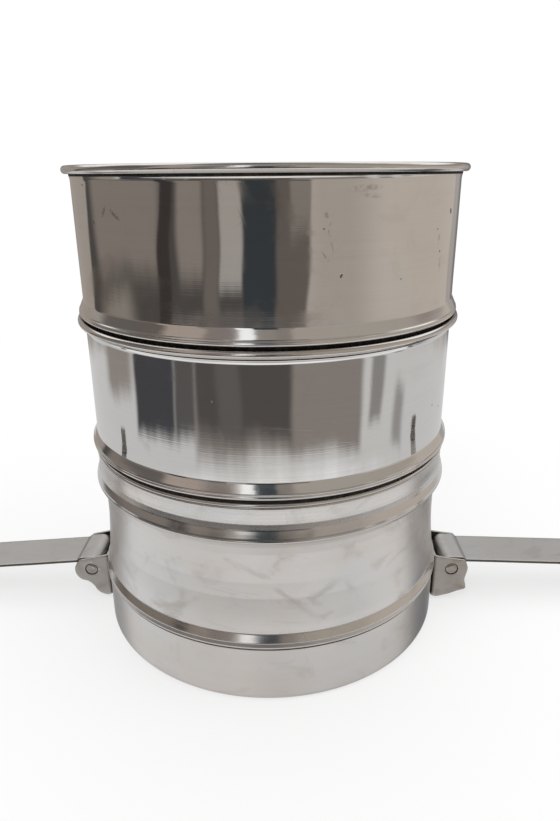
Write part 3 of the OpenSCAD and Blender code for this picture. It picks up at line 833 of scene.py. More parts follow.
def bottom_tier():
    foot_r, foot_z = WALL_R - 1.6, 1.05
    profile = on(BELOW, [(0, foot_z, 0), (foot_r, foot_z, 6.5), (foot_r, SKIRT_TOP - 2.4, 0.5)])
    profile += on(HIDDEN, [(-1.5, -1.1, 0.4), (-0.2, 0.04, 0.1), (1.2, 0.04, 0.1)],
                  WALL_R, SKIRT_TOP)
    for face, points in LOW_PROFILE:
        profile += on(face, points, WALL_R, LOW_RIM)
    profile += on(INNER, [(foot_r - SHEET, SKIRT_TOP - 1.4, 1.2),
                          (foot_r - SHEET, foot_z + SHEET, 5.6), (0, foot_z + SHEET, 0)])
    wobble = wall_wobble(2, 30.0, LOW_RIM - 53, LOW_RIM - 18, WALL_R - 4)
    piece("bottom_container_body", lathe(held(rounded(profile)), wobble=wobble),
          [UNDERSIDE, SATIN, BEAD, INSIDE, WORN_BAND, CREVICE_SHADE, COLLAR],
          "base", "bottom_container")


bottom_tier()


def skirt():
    inner_r = SKIRT_R - SKIRT_T
    profile = [(66, 0, 0.3, BELOW), (SKIRT_R, 0, 2.6, OUTER), (SKIRT_R, SKIRT_TOP, 0.28, OUTER),
               (inner_r, SKIRT_TOP, 0.2, INNER), (inner_r, SKIRT_T, 1.6, INNER),
               (66, SKIRT_T, 0.3, INNER)]
    path = rounded(profile, closed=True, fine=9.0)
    path = held(path + [path[0]])[:-1]
    uneven = wall_noise(21, 0.07, 26.0)

    def wobble(a, r, z):
        """Only inwards, and none where the brackets sit."""
        up, down = (z - 4) / 6.0, (SKIRT_TOP - 1.5 - z) / 6.0
        if up <= 0 or down <= 0:
            return 0.0
        near = min(abs(a), abs(a - pi), abs(a - 2 * pi))
        return -abs(uneven(a, r, z)) * min(1, up) * min(1, down) * min(1.0, near / 0.25)
    piece("base_skirt_body", lathe(path, wobble=wobble, loop=True),
          [UNDERSIDE, SATIN, BEAD, UNDERSIDE], "base", "base_skirt")


skirt()


def lid():
    """A sunk pan seated on the top bead, with a raised middle. OUTER is its upper face."""
    pan_r, edge_r, middle_r = WALL_R - 1.35, SEAT_R + 0.08, 52.0
    cone_z = TOP_RIM + SEAT_DZ + SEAT_GAP - SEAT_R
    profile = on(BELOW, [
        (0, LID_FLOOR - LID_T + LID_RISE, 0), (middle_r, LID_FLOOR - LID_T + LID_RISE, 0.7),
        (middle_r + 1, LID_FLOOR - LID_T, 0.7), (pan_r, LID_FLOOR - LID_T, 2.0),
        (pan_r, pan_r + cone_z, 0.2)])
    profile += on(ROLLED, [
        (edge_r, edge_r + cone_z, 0.05), (edge_r, TOP_RIM - 0.15, 0.06),
        (edge_r - 0.15, TOP_RIM - 0.05, 0.06),
        *arc(pan_r + 0.1, TOP_RIM - 1.1, 1.05, 90, 160, 10)])
    profile += on(OUTER, [(pan_r - LID_T, TOP_RIM - 1.5, 0.3), (pan_r - LID_T, LID_FLOOR, 1.3)])
    # up to the middle, a shallow pressed ring, then the plain centre
    profile += on(OUTER, [
        (middle_r + 0.7, 0, 0.8), (middle_r - 0.3, LID_RISE, 0.8), (44.5, LID_RISE, 0.4),
        (44.0, 0.62, 0.4), (43.0, 0.62, 0.4), (42.5, LID_RISE, 0.4), (0, LID_RISE, 0)],
        0, LID_FLOOR)
    piece("lid_pan", lathe(held(rounded(profile))), [UNDERSIDE, LID_FACE, BEAD],
          "lid_group", "lid")


lid()

# ------------------------------------------------------------------ rivets and pins


def rivet(grip, shank, head_r, head_h, tail_r, tail_h, seed):
    """Along +Z, gripping z = 0 to grip: low domed head above, hammered tail below."""
    profile = [(0, -tail_h, 0), (tail_r, -tail_h, 0.35), (tail_r, -0.03, 0.12),
               (shank, -0.03, 0.05), (shank, grip + 0.03, 0.05), (head_r, grip + 0.03, 0.06), ]
    profile.append((head_r, grip + 0.03, 0))
    profile = profile[:-2] + profile[-1:]      # the dome starts at a sharp rim
    path = held(rounded(profile), hold=0.1, step=1.2)
    sphere_r = (head_r ** 2 + head_h ** 2) / (2 * head_h)
    for k in range(1, 13):
        r = head_r * (1 - k / 12)
        rise = max(0.0, sqrt(sphere_r * sphere_r - r * r) - (sphere_r - head_h))
        path.append((r, grip + 0.03 + rise, 0))
    verts, faces, numbers = lathe(path, 48)
    shift = Vector((seed * 3.7, seed, -seed * 2.1))
    dented = []
    for x, y, z in verts:
        dent = 0.0
        if z > grip + 0.2:
            dent = -0.10 * max(0.0, noise.noise(Vector((x, y, z)) * 0.55 + shift))
        elif z < -tail_h + 0.15:
            dent = 0.12 * max(0.0, noise.noise(Vector((x, y, z)) * 0.5 + shift))
        dented.append((x, y, z + dent))
    return dented, faces, numbers


def axis_matrix(position, towards):
    """Turns local +Z to point towards, at position in mm."""
    turn = Vector((0, 0, 1)).rotation_difference(Vector(towards))
    return Matrix.Translation(Vector(position)) @ turn.to_matrix().to_4x4()


def rivets(name, parts, body, node):
    piece(name, merge(parts), [RIVET], body, node, clean=True)


def bracket_rivets(side, word):
    parts = []
    for z in BRACKET_RIVET_Z:
        part = rivet(grip=SKIRT_T + BRACKET_T + 0.05 + 0.06, shank=1.6, head_r=2.8, head_h=1.1,
                     tail_r=2.5, tail_h=1.0, seed=3 * side + z)
        place = axis_matrix((side * (SKIRT_R - SKIRT_T - 0.06), 0, z), (side, 0, 0))
        parts.append(moved(part, place))
    rivets(word + "_bracket_rivet_pair", parts, "base", word + "_bracket_rivets")


def lug_rivets():
    z = LID_FLOOR + LID_RISE - LID_T - 0.02
    parts = []
    for side in (-1, 1):
        for y in (-LUG_RIVET_Y, LUG_RIVET_Y):
            part = rivet(grip=LID_T + LUG_T + 0.04, shank=1.6, head_r=2.7, head_h=1.1,
                         tail_r=2.4, tail_h=0.8, seed=side * 5 + y)
            parts.append(moved(part, Matrix.Translation((side * LUG_RIVET_X, y, z))))
    rivets("handle_lug_rivet_set", parts, "lid_group", "handle_lug_rivets")


for side, word in SIDES:
    bracket_rivets(side, word)
lug_rivets()


def hinge_pin(side, word):
    """Shouldered pin: its ends are peened in the ears and lie just below their faces."""
    shoulder, end = (EAR_IN * 2 - 0.1) / 2, EAR_OUT - 0.2      # half lengths
    body_r, end_r = 4.15, 3.02
    half = [(0, -end + 0.12, 0), (1.3, -end + 0.08, 3), (end_r - 0.45, -end, 0.5),
            (end_r, -end + 0.35, 0.4), (end_r, -shoulder, 0.08), (body_r, -shoulder, 0.15)]
    profile = half + [(r, -z, fillet) for r, z, fillet in reversed(half)]
    verts, faces, numbers = lathe(held(rounded(profile), hold=0.1, step=2.0), 72)
    shift = Vector((side * 4.0, 1.0, 2.0))
    hammered = []
    for x, y, z in verts:
        if abs(z) > shoulder + 0.1:
            dent = 0.07 * noise.noise(Vector((x, y, z * 0.2)) * 0.8 + shift)
            z -= copysign(max(0.0, dent) if abs(z) > end - 0.3 else 0, z)
            if abs(z) > end - 0.6:      # the hammer missed one edge: a crescent is left low
                k = min(1.0, max(0.0, (0.35 * -side * x + 0.94 * y - 1.35) / 1.0))
                z -= copysign(0.45 * k * k * (3 - 2 * k), z)
        hammered.append((x, y, z))
    place = axis_matrix((side * HINGE_X, 0, HINGE_Z), (0, -1, 0))
    piece(word + "_hinge_pin_turned", moved((hammered, faces, numbers), place), [RIVET],
          "base", word + "_hinge_pin", clean=True)


for side, word in SIDES:
    hinge_pin(side, word)

# ------------------------------------------------------------------ brackets
# Ears seen from the side, from the foot of the web round to its top: (x from SKIRT_R, z, fillet)
LEFT_FOOT = [(2.1, 2.5, 0.6), (3.4, 2.7, 2), (5.6, 3.6, 2), (7.1, 5.2, 3), (8.1, 7.2, 3),
             (9.4, 9.0, 3), (11.2, 10.3, 2)]
RIGHT_EAR = [(2.1, 1.5, 0.5), (3.2, 1.6, 1), (8.2, 2.9, 2), (12.6, 4.7, 2), (15.6, 5.6, 0.5),
             (16.2, 6.4, 0.5), (15.9, 8.2, 0.5), (15.4, 10.0, 1), (15.3, 11.6, 1),
             (15.7, 13.6, 1), (16.2, 15.6, 1), (16.3, 17.4, 1), (15.8, 19.2, 1),
             (15.2, 20.9, 0.6), (14.4, 21.5, 0.6), (8, 22.4, 2), (2.1, 23.5, 0.8)]
LEFT_EAR = [(SKIRT_R + x, z, fillet) for x, z, fillet in LEFT_FOOT]
LEFT_EAR += arc(HINGE_X + 1.9, HINGE_Z - 0.6, 6.1, -62, 42, 16)
LEFT_EAR += [(HINGE_X + 5.6, 21.3, 0.5), (HINGE_X + 4.2, 21.75, 0.8), (SKIRT_R + 2.1, 24.1, 0.8)]
RIGHT_EAR = [(SKIRT_R + x, z, fillet) for x, z, fillet in RIGHT_EAR]


def bracket(side, word, outline):
    """A U folded round its web: the web lies on the skirt, the ears point outwards."""
    back_x = SKIRT_R + 0.05
    bend_r = 1.4                                     # on the mid face
    web_x, ear_y = back_x + BRACKET_T / 2, (EAR_IN + EAR_OUT) / 2
    flat = ear_y - bend_r
    bend_len = bend_r * pi / 2

    def along_ear(x):
        return flat + bend_len + (x - (web_x + bend_r))

    def bend(along, z, lift):
        """lift > 0 lies inside the U."""
        run, sign = abs(along), 1 if along >= 0 else -1
        if run <= flat:
            x, y, nx, ny = web_x, run, 1.0, 0.0
        elif run <= flat + bend_len:
            a = (run - flat) / bend_r
            x, y = web_x + bend_r * (1 - cos(a)), flat + bend_r * sin(a)
            nx, ny = cos(a), -sin(a)
        else:
            x, y, nx, ny = web_x + bend_r + (run - flat - bend_len), ear_y, 0.0, -1.0
        return (side * (x + nx * lift), sign * (y + ny * lift), z)

    ear = [(along_ear(x), z, fillet) for x, z, fillet in outline]
    loop = ear + [(-along, z, fillet) for along, z, fillet in reversed(ear)]
    loop = resample(rounded(loop, closed=True, fine=14.0), 0.9)
    pivot = along_ear(HINGE_X)
    holes = [(pivot, HINGE_Z, 3.05, 72, 0.07), (-pivot, HINGE_Z, 3.05, 72, 0.07)]
    holes += [(0, z, 1.62, 24, 0.05) for z in BRACKET_RIVET_Z]
    reach = max(p[0] for p in loop)
    xs = [x for x in grid(-reach, reach, 1.25)
          if not flat - 0.3 < abs(x) < flat + bend_len + 0.3]
    xs += [sign * (flat + bend_len * k / 8) for k in range(9) for sign in (-1, 1)]
    verts, faces, numbers = sheet(loop, holes, BRACKET_T, 0.22, sorted(xs), grid(1, 25, 1.1),
                                  bend)
    # the ears are not quite flat
    shift = Vector((side * 11.0, 2.0, 5.0))
    uneven = []
    for x, y, z in verts:
        fade = max(0.0, min(1.0, (abs(x) - back_x - 3) / 8.0))
        at = Vector((x * 0.16, copysign(1, y) * 3.0, z * 0.16))
        uneven.append((x, y + 0.10 * noise.noise(at + shift) * fade, z))
    # the inside of the U (the +lift faces) is near-black painted shade
    piece(word + "_bracket_folded", (uneven, faces, numbers), [EAR, HOLLOW_SHADE, EAR],
          "base", word + "_bracket", quads=True)


bracket(-1, "left", LEFT_EAR)
bracket(1, "right", RIGHT_EAR)

# ------------------------------------------------------------------ straps and hooks


def strap_frame(side):
    """Hinge frame of a strap (x along the strap, y across, z up) to the carrier's, in mm."""
    frame = Matrix.Translation((HINGE_X, 0, HINGE_Z))
    frame = frame @ Matrix.Rotation(radians(DROOP[side]), 4, "Y")
    if side < 0:
        frame = Matrix.Scale(-1, 4, (1, 0, 0)) @ frame
    return frame


def strap_marks(length, curl_len):
    """Grid lines along a strap: close together in the curl, the joggle and the end's bend."""
    marks = [curl_len * k / 34 for k in range(1, 34)]
    marks += [curl_len + 10.0 * k / 20 for k in range(21)]
    marks += grid(curl_len + 11.5, length - 14.0, 2.6)
    marks += [length - 13.0 + 12.5 * k / 22 for k in range(22)]
    return sorted(marks)


def distance_at(at, length, x):
    """Distance along a strap's path at which it reaches x."""
    low, high = length * 0.5, length * 0.97
    for _ in range(40):
        middle = (low + high) / 2
        if at(middle)[0] < x:
            low = middle
        else:
            high = middle
    return (low + high) / 2


def strap_outline(length, half_w, marks):
    """The blank's loop, its long edges split at the grid lines."""
    corners = rounded([(0, -half_w, 0.5), (length, -half_w, 2.2), (length, half_w, 2.2),
                       (0, half_w, 0.5)], closed=True, fine=10.0)
    loop = []
    for i, a in enumerate(corners):
        b = corners[(i + 1) % len(corners)]
        if min(abs(a[1]), abs(b[1])) > half_w - 0.01 and abs(b[0] - a[0]) > 20:
            low, high = min(a[0], b[0]) + 0.3, max(a[0], b[0]) - 0.3
            stops = [mark for mark in marks if low < mark < high]
            if b[0] < a[0]:
                stops.reverse()
            loop += [(x, a[1]) for x in (a[0], *stops)]
        else:
            loop += split(a, b, 1.6)
    return loop


def strap(side, word):
    """A strip curled round the hinge pin, joggled, straight, and turned down at its end."""
    curl_r = (EYE_IN + EYE_OUT) / 2
    mid_z = STRAP_TOP - STRAP_T / 2
    end_x = HOOK_REACH + 4.9
    end_r = 3.4 - STRAP_T / 2
    path = arc(0, 0, curl_r, 378, 90, 72)
    path += [(5.1, curl_r - 0.02, 1.0), (6.65, mid_z, 0.75), (end_x - 3.4, mid_z, 0)]
    path += arc(end_x - 3.4, mid_z - end_r, end_r, 84, 0, 14)
    path += [(end_x - STRAP_T / 2, -2.6, 0)]
    at, length = bent_path(path)
    frame = strap_frame(side)
    shift = Vector((side * 5.0, 1.0, 3.0))

    def bend(along, y, lift):
        x, z, nx, nz = at(along)
        x += nx * lift
        z += nz * lift
        if x > 9:        # rolled strip: a slow wave, and edges that curl a hair
            fade = min(1.0, (x - 9) / 20.0)
            slow = noise.noise(Vector((x / 38.0, 0.4, 0)) + shift)
            z += fade * (0.10 * slow
                         + 0.05 * noise.noise(Vector((x / 16.0, y / 14.0, 1.5)) + shift))
            y += fade * 0.10 * noise.noise(Vector((x / 30.0, 2.0, 0)) - shift)
        return tuple(frame @ Vector((x, y, z)))
    half_w = STRAP_W / 2
    marks = strap_marks(length, curl_r * radians(288))
    rivet_at = distance_at(at, length, HOOK_RIVET_X)
    holes = [(rivet_at, y, 1.52, 24, 0.05) for y in (-HOOK_RIVET_Y, HOOK_RIVET_Y)]
    part = sheet(strap_outline(length, half_w, marks), holes, STRAP_T, 0.34, marks,
                 grid(-half_w, half_w, 1.45), bend)
    piece(word + "_strap_band", part, [STRAP, STRAP, SHEARED_SHADE], word + "_strap_arm",
          word + "_strap", quads=True)


def hook(side, word):
    """An angle riveted on top of the strap, its free leg upright."""
    half_w = (STRAP_W - 1) / 2
    mid_z = STRAP_TOP + 0.02 + STRAP_T / 2
    leg_x = HOOK_REACH + STRAP_T / 2
    at, length = bent_path([(HOOK_REACH - 15.5, mid_z, 0), (leg_x, mid_z, 1.8),
                            (leg_x, mid_z - STRAP_T / 2 + HOOK_H, 0)])
    frame = strap_frame(side)

    def bend(along, y, lift):
        x, z, nx, nz = at(along)
        return tuple(frame @ Vector((x + nx * lift, y, z + nz * lift)))
    loop = rounded([(0, -half_w, 1.2), (length, -half_w, 1.6), (length, half_w, 1.6),
                    (0, half_w, 1.2)], closed=True, fine=12.0)
    holes = [(6.0, y, 1.52, 24, 0.05) for y in (-HOOK_RIVET_Y, HOOK_RIVET_Y)]
    part = sheet(resample(loop, 0.8), holes, STRAP_T, 0.42, grid(0.8, length - 0.8, 0.8),
                 grid(-half_w, half_w, 1.3), bend)
    piece(word + "_hook_angle", part, [STRAP, STRAP, SHEARED_SHADE], word + "_strap_arm",
          word + "_hook", quads=True)


def hook_rivets(side, word):
    """Their heads are on the strap's lower side."""
    z = STRAP_TOP - STRAP_T + 2 * STRAP_T + 0.04
    parts = []
    for y in (-HOOK_RIVET_Y, HOOK_RIVET_Y):
        part = rivet(grip=2 * STRAP_T + 0.06, shank=1.5, head_r=2.6, head_h=0.95,
                     tail_r=2.4, tail_h=0.8, seed=side * 9 + y)
        place = strap_frame(side) @ Matrix.Translation((HOOK_RIVET_X, y, z))
        parts.append(moved(part, place @ Matrix.Scale(-1, 4, (0, 0, 1))))
    rivets(word + "_hook_rivet_pair", parts, word + "_strap_arm", word + "_hook_rivets")


for side, word in SIDES:
    strap(side, word)
    hook(side, word)
    hook_rivets(side, word)

# ------------------------------------------------------------------ lid handle


def lug(side, word):
    """Riveted foot and an upright ear with the pivot hole, folded from one blank."""
    ear_x, bend_r, half_w = 30.0, 1.1, 6.4
    foot_x = ear_x - 14.3
    mid_z = LID_FLOOR + LID_RISE + 0.02 + LUG_T / 2
    run = ear_x - bend_r - foot_x
    bent = run + bend_r * pi / 2                     # where the ear starts

    def bend(along, y, lift):
        """along = 0 at the foot's inner end; lift > 0 lies up and towards the middle."""
        if along <= run:
            x, z, nx, nz = foot_x + along, mid_z, 0.0, 1.0
        elif along <= bent:
            a = (along - run) / bend_r
            x, z = ear_x - bend_r + bend_r * sin(a), mid_z + bend_r * (1 - cos(a))
            nx, nz = -sin(a), cos(a)
        else:
            x, z, nx, nz = ear_x, mid_z + bend_r + (along - bent), -1.0, 0.0
        return (side * (x + nx * lift), y, z + nz * lift)
    pivot = bent + (PIVOT_Z - mid_z - bend_r)
    edge = [(0, -half_w, 1.4), (bent - 0.2, -half_w, 1.0), (bent + 1.2, -5.4, 1.5)]
    loop = edge + arc(pivot, 0, 3.9, -72, 72, 16) + [(x, -y, r) for x, y, r in reversed(edge)]
    loop = resample(rounded(loop, closed=True, fine=14.0), 0.8)
    holes = [(LUG_RIVET_X - foot_x, y, 1.62, 24, 0.05) for y in (-LUG_RIVET_Y, LUG_RIVET_Y)]
    holes += [(pivot, 0, 2.25, 36, 0.12)]
    reach = max(p[0] for p in loop)
    part = sheet(loop, holes, LUG_T, 0.26, grid(0.6, reach - 0.5, 0.75),
                 grid(-half_w, half_w, 0.95), bend)
    piece(word + "_lug_folded", part, [EAR, EAR, EAR], "lid_group",
          word + "_handle_lug", quads=True)


for side, word in SIDES:
    lug(side, word)

WIRE_R = 2.2
# The wire's peened end: distance from its tip, radius
WIRE_END = [(0.0, 0.0), (0.0, 1.6), (0.0, 2.35), (0.12, 2.75), (0.35, 2.95), (0.8, 2.98),
            (1.1, 2.75), (1.25, 2.3), (1.45, WIRE_R)]


def handle():
    """Round wire, lying back on the lid: peened end, pivot, bend, arm, corner, grip and back
    again, swept as one skin."""
    half_w, reach, corner, bend = 36.0, 37.0, 14.0, 4.0
    end_x = 27.4 - 0.6
    fold = asin((PIVOT_RISE - LID_RISE - WIRE_R - 0.12) / reach)
    at, length = bent_path([(-end_x, 0.0, 0), (-half_w, 0.0, bend), (-half_w, reach, corner),
                            (half_w, reach, corner), (half_w, 0.0, bend), (end_x, 0.0, 0)], 0.2)
    sides = 28
    count = int((length - 2.9) / 1.3)
    stations = WIRE_END + [(1.45 + (length - 2.9) * j / count, WIRE_R) for j in range(1, count)]
    stations += [(length - distance, radius) for distance, radius in reversed(WIRE_END)]
    verts, rings = [], []
    frame = Matrix.Translation((0, 0, PIVOT_Z)) @ Matrix.Rotation(-fold, 4, "X")
    for distance, radius in stations:
        x, y, nx, ny = at(distance)
        base = len(verts)
        if radius == 0:
            rings.append([base] * sides)
            verts.append(tuple(frame @ Vector((x, y, 0))))
            continue
        for j in range(sides):
            a = 2 * pi * j / sides
            verts.append(tuple(frame @ Vector((
                x + nx * radius * cos(a), y + ny * radius * cos(a), radius * sin(a)))))
        rings.append(list(range(base, base + sides)))
    faces = [face for a, b in zip(rings, rings[1:]) for face in join_rings(a, b)]
    piece("bail_handle_wire", (verts, faces, [0] * len(faces)), [WIRE], "handle",
          "bail_handle", clean=True)


handle()

# ------------------------------------------------------------------ floor and lights
scene = bpy.context.scene
scene.view_settings.view_transform = "Standard"
scene.view_settings.look = "None"


def floor():
    """Pale near the carrier, fading to plain white further out."""
    mat, net = new_material("floor_pale")
    local = net.put("TexCoord", out="Object")
    distance = net.put("VectorMath", {0: local}, out=1, operation="LENGTH")
    matt = net.put("BsdfDiffuse", {"Color": (0.90, 0.90, 0.90, 1)})
    glow = net.put("Emission", {"Color": (1, 1, 1, 1), "Strength": 1.0})
    share = net.madd(net.ramp(distance, 0.10, 0.60), 0.34, 0.66)
    net.put("OutputMaterial", {0: net.put("MixShader", {0: share, 1: matt, 2: glow})})
    half = 4000
    corners = [(-half, -half, 0), (half, -half, 0), (half, half, 0), (-half, half, 0)]
    obj = new_object("floor", (corners, [(0, 1, 2, 3)], [0]), [mat])
    obj.visible_glossy = False
    obj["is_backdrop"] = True


floor()


def disk_light(name, location, target, size, power):
    data = bpy.data.lights.new(name, "AREA")
    data.shape = "DISK"
    data.size = size
    data.energy = power
    obj = bpy.data.objects.new(name, data)
    obj.location = location
    obj.rotation_mode = "QUATERNION"
    obj.rotation_quaternion = (Vector(target) - Vector(location)).to_track_quat("-Z", "Y")
    scene.collection.objects.link(obj)
    obj.visible_glossy = False


disk_light("soft_key", location=(-0.6, -0.9, 1.5), target=(0, 0, 0.08), size=1.2, power=9.0)
disk_light("soft_fill", location=(1.1, -0.3, 1.2), target=(0, 0, 0.08), size=1.2, power=6.0)
disk_light("soft_top", location=(0.0, 0.5, 1.7), target=(0, 0, 0.0), size=1.4, power=8.0)

# ------------------------------------------------------------------ reflections
# What the polished metal mirrors: soft-edged grey panels, pale softboxes and dark flags, on a
# far dome that only reflections see. Bearings are in degrees, 0 at the front, 90 at the right.
# Columns: bearing from, to, height from, to, colour on the metal (0 to 255), softness across,
# softness up, and where given: weight, lean.
CARDS = [
    # surround: above, behind and low down
    (-400, 400, 62, 120, (92, 87, 83), 2, 10),
    (-400, 400, 7, 50, (132, 126, 120), 2, 5),
    (20, 125, 44, 120, (138, 131, 124), 14, 12),
    (104, 260, 24, 66, (240, 238, 236), 12, 6),
    (104, 260, 7, 20, (166, 158, 151), 12, 5),
    (-260, -104, 24, 66, (240, 238, 236), 12, 6),
    (-260, -104, 7, 20, (136, 126, 118), 12, 5),
    (-400, 400, -14, 7, (160, 154, 149), 2, 2),
    (138, 260, -14, 12, (150, 145, 141), 8, 5),
    (-260, -140, -14, 12, (150, 145, 141), 8, 5),
    # flags and a strip light at the back, so that the polish reads from every side
    (150, 162, -26, 30, (92, 88, 86), 4, 5, 0.8),
    (-168, -152, -26, 26, (108, 101, 95), 5, 5, 0.8),
    (172, 190, -12, 20, (186, 184, 180), 5, 4, 0.7),
    # level with the top container: a wide pale panel on the right, flags and strips on the left
    (24, 138, -14, 7, (172, 163, 154), 1.6, 2.5),
    (20, 60, -14, 7, (144, 136, 128), 14, 2.5, 0.7),
    (-150, -118.5, -14, 7, (144, 136, 128), 1.6, 3, 1.0, -0.67),
    (-118.5, 24, -14, 7, (70, 66, 63), 1.2, 2.5, 1.0, -0.67),
    (-113, -60, -8.0, 7, (118, 110, 103), 4, 2.0),
    (-112, -84, -14, -9.4, (134, 127, 119), 8, 1.2, 0.8),
    (-59, -51, -14, 7, (54, 48, 47), 0.8, 3, 1.0, -0.35),
    (-49, -35, -8.4, 7, (122, 114, 107), 2.0, 1.6),
    (-34, -25.5, -14, 7, (98, 91, 86), 1.6, 1.2),
    (-25, -12.5, -9.4, 7, (148, 143, 138), 1.0, 1.2),
    (-12, 5.8, -14, 7, (50, 54, 57), 0.9, 1.0),
    (5.8, 24, -14, 7, (90, 83, 78), 1.4, 2.0),
    (13, 24, -4, 7, (118, 112, 106), 1.0, 1.2),
    # level with the middle container: pale all round, darker flags in front
    (-400, 400, -26.5, -14, (184, 182, 179), 2, 1.2),
    (-116, -90, -17.8, -13.0, (132, 125, 119), 5, 1.2),
    (-88, -58, -21.8, -13.5, (62, 61, 63), 1.6, 0.8),
    (-58, -44, -22.2, -13.5, (80, 77, 75), 1.6, 0.8),
    (-44, 60, -24.0, -13.5, (124, 117, 111), 2.6, 1.0),
    (-44, 15, -22.4, -13.5, (74, 70, 68), 2.6, 1.2),
    (-30, -16, -22.4, -13.5, (88, 84, 81), 2.4, 1.2, 0.9),
    (66, 75, -21.0, -13.5, (120, 115, 111), 1.8, 0.9, 0.9),
    (84, 92, -23.4, -17.6, (122, 118, 115), 2.6, 1.0, 0.8),
    # high up, seen in the turned-out bands
    (-112, -62, 6, 48, (88, 82, 79), 6, 3, 0.9),
    (-64, -38, 6, 48, (156, 144, 135), 3, 2),
    (-38, -18, 6, 48, (122, 114, 110), 2, 2),
    (-18, -7.5, 6, 48, (238, 238, 236), 1.2, 2),
    (-7.5, 6.2, 6, 27, (56, 62, 67), 1.0, 2),
    (6.2, 16, 6, 48, (125, 118, 113), 1.0, 2),
    (16, 100, 6, 40, (156, 149, 140), 1.5, 3, 0.95),
    # low down, seen in the satin walls and the foot
    (-400, 400, -120, -26.4, (205, 203, 200), 2, 2.0),
    (-30, 42, -38, -28.0, (236, 234, 231), 12, 1.6, 0.8),
    (-400, 400, -31.5, -26.4, (226, 225, 223), 2, 1.6, 0.85),
    (-400, 400, -120, -39.5, (182, 179, 176), 2, 5.0),
    (-12, 26, -54, -40, (158, 151, 146), 12, 3, 0.8),
    (12, 130, -120, -39, (174, 170, 167), 14, 3, 0.9),
    (-150, -117, -46, -26, (108, 107, 108), 5, 3, 0.85),
    (108, 152, -52, -26, (80, 79, 80), 7, 3, 0.95),
]
DOME_R = 30.0          # metres
DOME_LIFT = 0.004      # its centre's height, as a share of its radius


def smooth(value, low, high):
    t = np.clip((value - low) / (high - low), 0.0, 1.0)
    return t * t * (3 - 2 * t)


def window(value, low, high, soft):
    return smooth(value, low - soft, low + soft) * (1 - smooth(value, high - soft, high + soft))


def panel_colour(rgb):
    """Linear colour of a panel, brighter than its mirror image by what the metal takes away."""
    c = np.array(rgb) / 255.0
    c = np.where(c < 0.04045, c / 12.92, ((c + 0.055) / 1.055) ** 2.4)
    return c / np.array(STEEL)


def add_card(rgb, az, el, az_from, az_to, el_from, el_to, colour, soft_az, soft_el,
             weight=1.0, lean=0.0):
    """Lays one card over the dome's colours."""
    leaning = az + lean * el
    cover = window(el, el_from, el_to, soft_el) * weight
    if az_to - az_from < 360:
        cover = cover * sum(window(leaning + turn, az_from, az_to, soft_az)
                            for turn in (0, -360, 360))
    return rgb * (1 - cover[..., None]) + panel_colour(colour) * cover[..., None]


def dome_mesh(points, columns, rows, rgb):
    i, j = np.meshgrid(np.arange(columns), np.arange(rows - 1))
    right = (i + 1) % columns
    quads = np.stack([j * columns + i, (j + 1) * columns + i, (j + 1) * columns + right,
                      j * columns + right], -1).reshape(-1, 4)
    mesh = bpy.data.meshes.new("reflection_dome")
    mesh.vertices.add(columns * rows)
    mesh.vertices.foreach_set("co", points.astype(np.float32).ravel())
    mesh.loops.add(quads.size)
    mesh.loops.foreach_set("vertex_index", quads.astype(np.int32).ravel())
    mesh.polygons.add(len(quads))
    mesh.polygons.foreach_set("loop_start", (np.arange(len(quads)) * 4).astype(np.int32))
    mesh.update(calc_edges=True)
    layer = mesh.color_attributes.new("panels", "FLOAT_COLOR", "POINT")
    rgba = np.concatenate([rgb, np.ones(rgb.shape[:2] + (1,))], -1)
    layer.data.foreach_set("color", rgba.astype(np.float32).ravel())
    return mesh


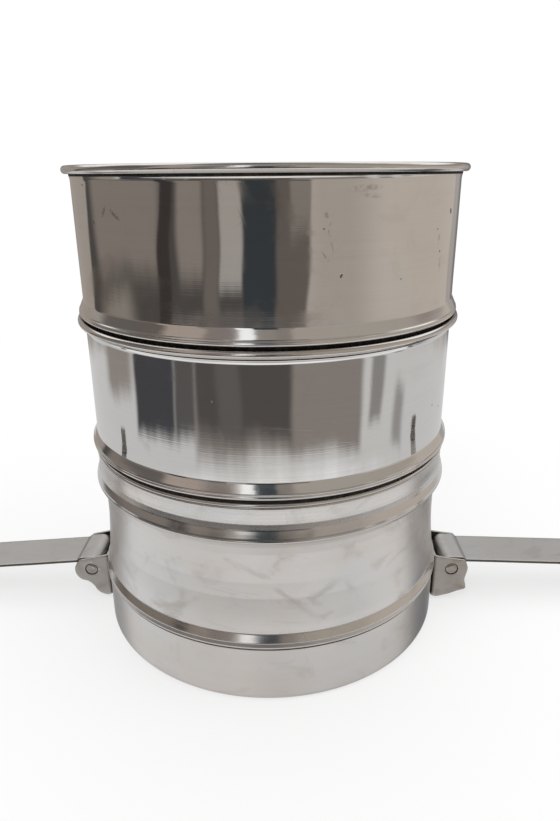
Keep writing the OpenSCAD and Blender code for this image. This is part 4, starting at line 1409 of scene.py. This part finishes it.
def dome():
    columns = np.arange(-180.0, 180.0, 0.5)
    rows = np.concatenate([np.arange(-90.0, -48.0, 3.0), np.arange(-48.0, 50.0, 0.4),
                           np.arange(50.0, 90.1, 2.5)])
    az, el = np.meshgrid(columns, rows)
    x = np.sin(np.radians(az)) * np.cos(np.radians(el))
    y = -np.cos(np.radians(az)) * np.cos(np.radians(el))
    z = np.sin(np.radians(el))
    points = np.stack([x, y, z + DOME_LIFT], -1).reshape(-1, 3) * DOME_R
    # no edge is quite straight once a hand-polished wall has mirrored it
    bend = (0.8 * np.sin(np.radians(el * 19 + az * 2.0))
            + 0.4 * np.sin(np.radians(el * 47 - az * 5.0 + 40)))
    lift = (0.28 * np.sin(np.radians(az * 9 + el * 3)) + 0.16 * np.sin(np.radians(az * 23 + 70))
            + 0.08 * np.sin(np.radians(az * 61 + el * 20)))
    rgb = np.ones(az.shape + (3,)) * panel_colour((170, 166, 162))
    for card in CARDS:
        rgb = add_card(rgb, az + bend, el + lift, *card)
    mesh = dome_mesh(points, len(columns), len(rows), rgb)
    mat, net = new_material("reflection_panels")
    panels = net.put("Attribute", attribute_name="panels")
    net.put("OutputMaterial", {0: net.put("Emission", {0: panels, 1: 1.0})})
    mat.cycles.emission_sampling = "NONE"
    mesh.materials.append(mat)
    obj = bpy.data.objects.new("reflection_dome", mesh)
    scene.collection.objects.link(obj)
    for ray in ("camera", "diffuse", "transmission", "volume_scatter", "shadow"):
        setattr(obj, "visible_" + ray, False)
    obj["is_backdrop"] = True


dome()


def studio_world():
    """White to the camera, dimmer as a light."""
    world = bpy.data.worlds.new("studio")
    scene.world = world
    world.use_nodes = True
    net = Net(world.node_tree)
    seen = net.put("LightPath", out="Is Camera Ray")
    white = (1.0, 1.0, 1.0, 1)
    light = net.put("Background", {"Color": white, "Strength": 0.62})
    backdrop = net.put("Background", {"Color": white, "Strength": 1.0})
    net.put("OutputWorld", {0: net.put("MixShader", {0: seen, 1: light, 2: backdrop})})


studio_world()

# ------------------------------------------------------------------ camera


def camera():
    """In front of the carrier, looking back and down, with a slight roll."""
    data = bpy.data.cameras.new("camera")
    obj = bpy.data.objects.new("camera", data)
    scene.collection.objects.link(obj)
    scene.camera = obj
    data.sensor_fit = "AUTO"
    data.sensor_width = 36.0
    data.lens = 28.3088916
    data.clip_start = 0.01
    data.clip_end = 50.0
    heading = Vector((-0.01164, 0.99993, 0.0)).normalized()
    pitch, roll = radians(20.27), radians(-0.41)
    forward = heading * cos(pitch) + Vector((0, 0, -sin(pitch)))
    level = forward.cross(Vector((0, 0, 1))).normalized()
    upright = level.cross(forward)
    right = level * cos(roll) + upright * sin(roll)
    up = -level * sin(roll) + upright * cos(roll)
    turn = Matrix((right, up, -forward)).transposed()
    obj.matrix_world = Matrix.Translation((0.00780, -0.27262, 0.19276)) @ turn.to_4x4()


camera()

low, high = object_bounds()
{"cad": [list(CAD_LOW), list(CAD_HIGH)], "visual": [list(low), list(high)]}
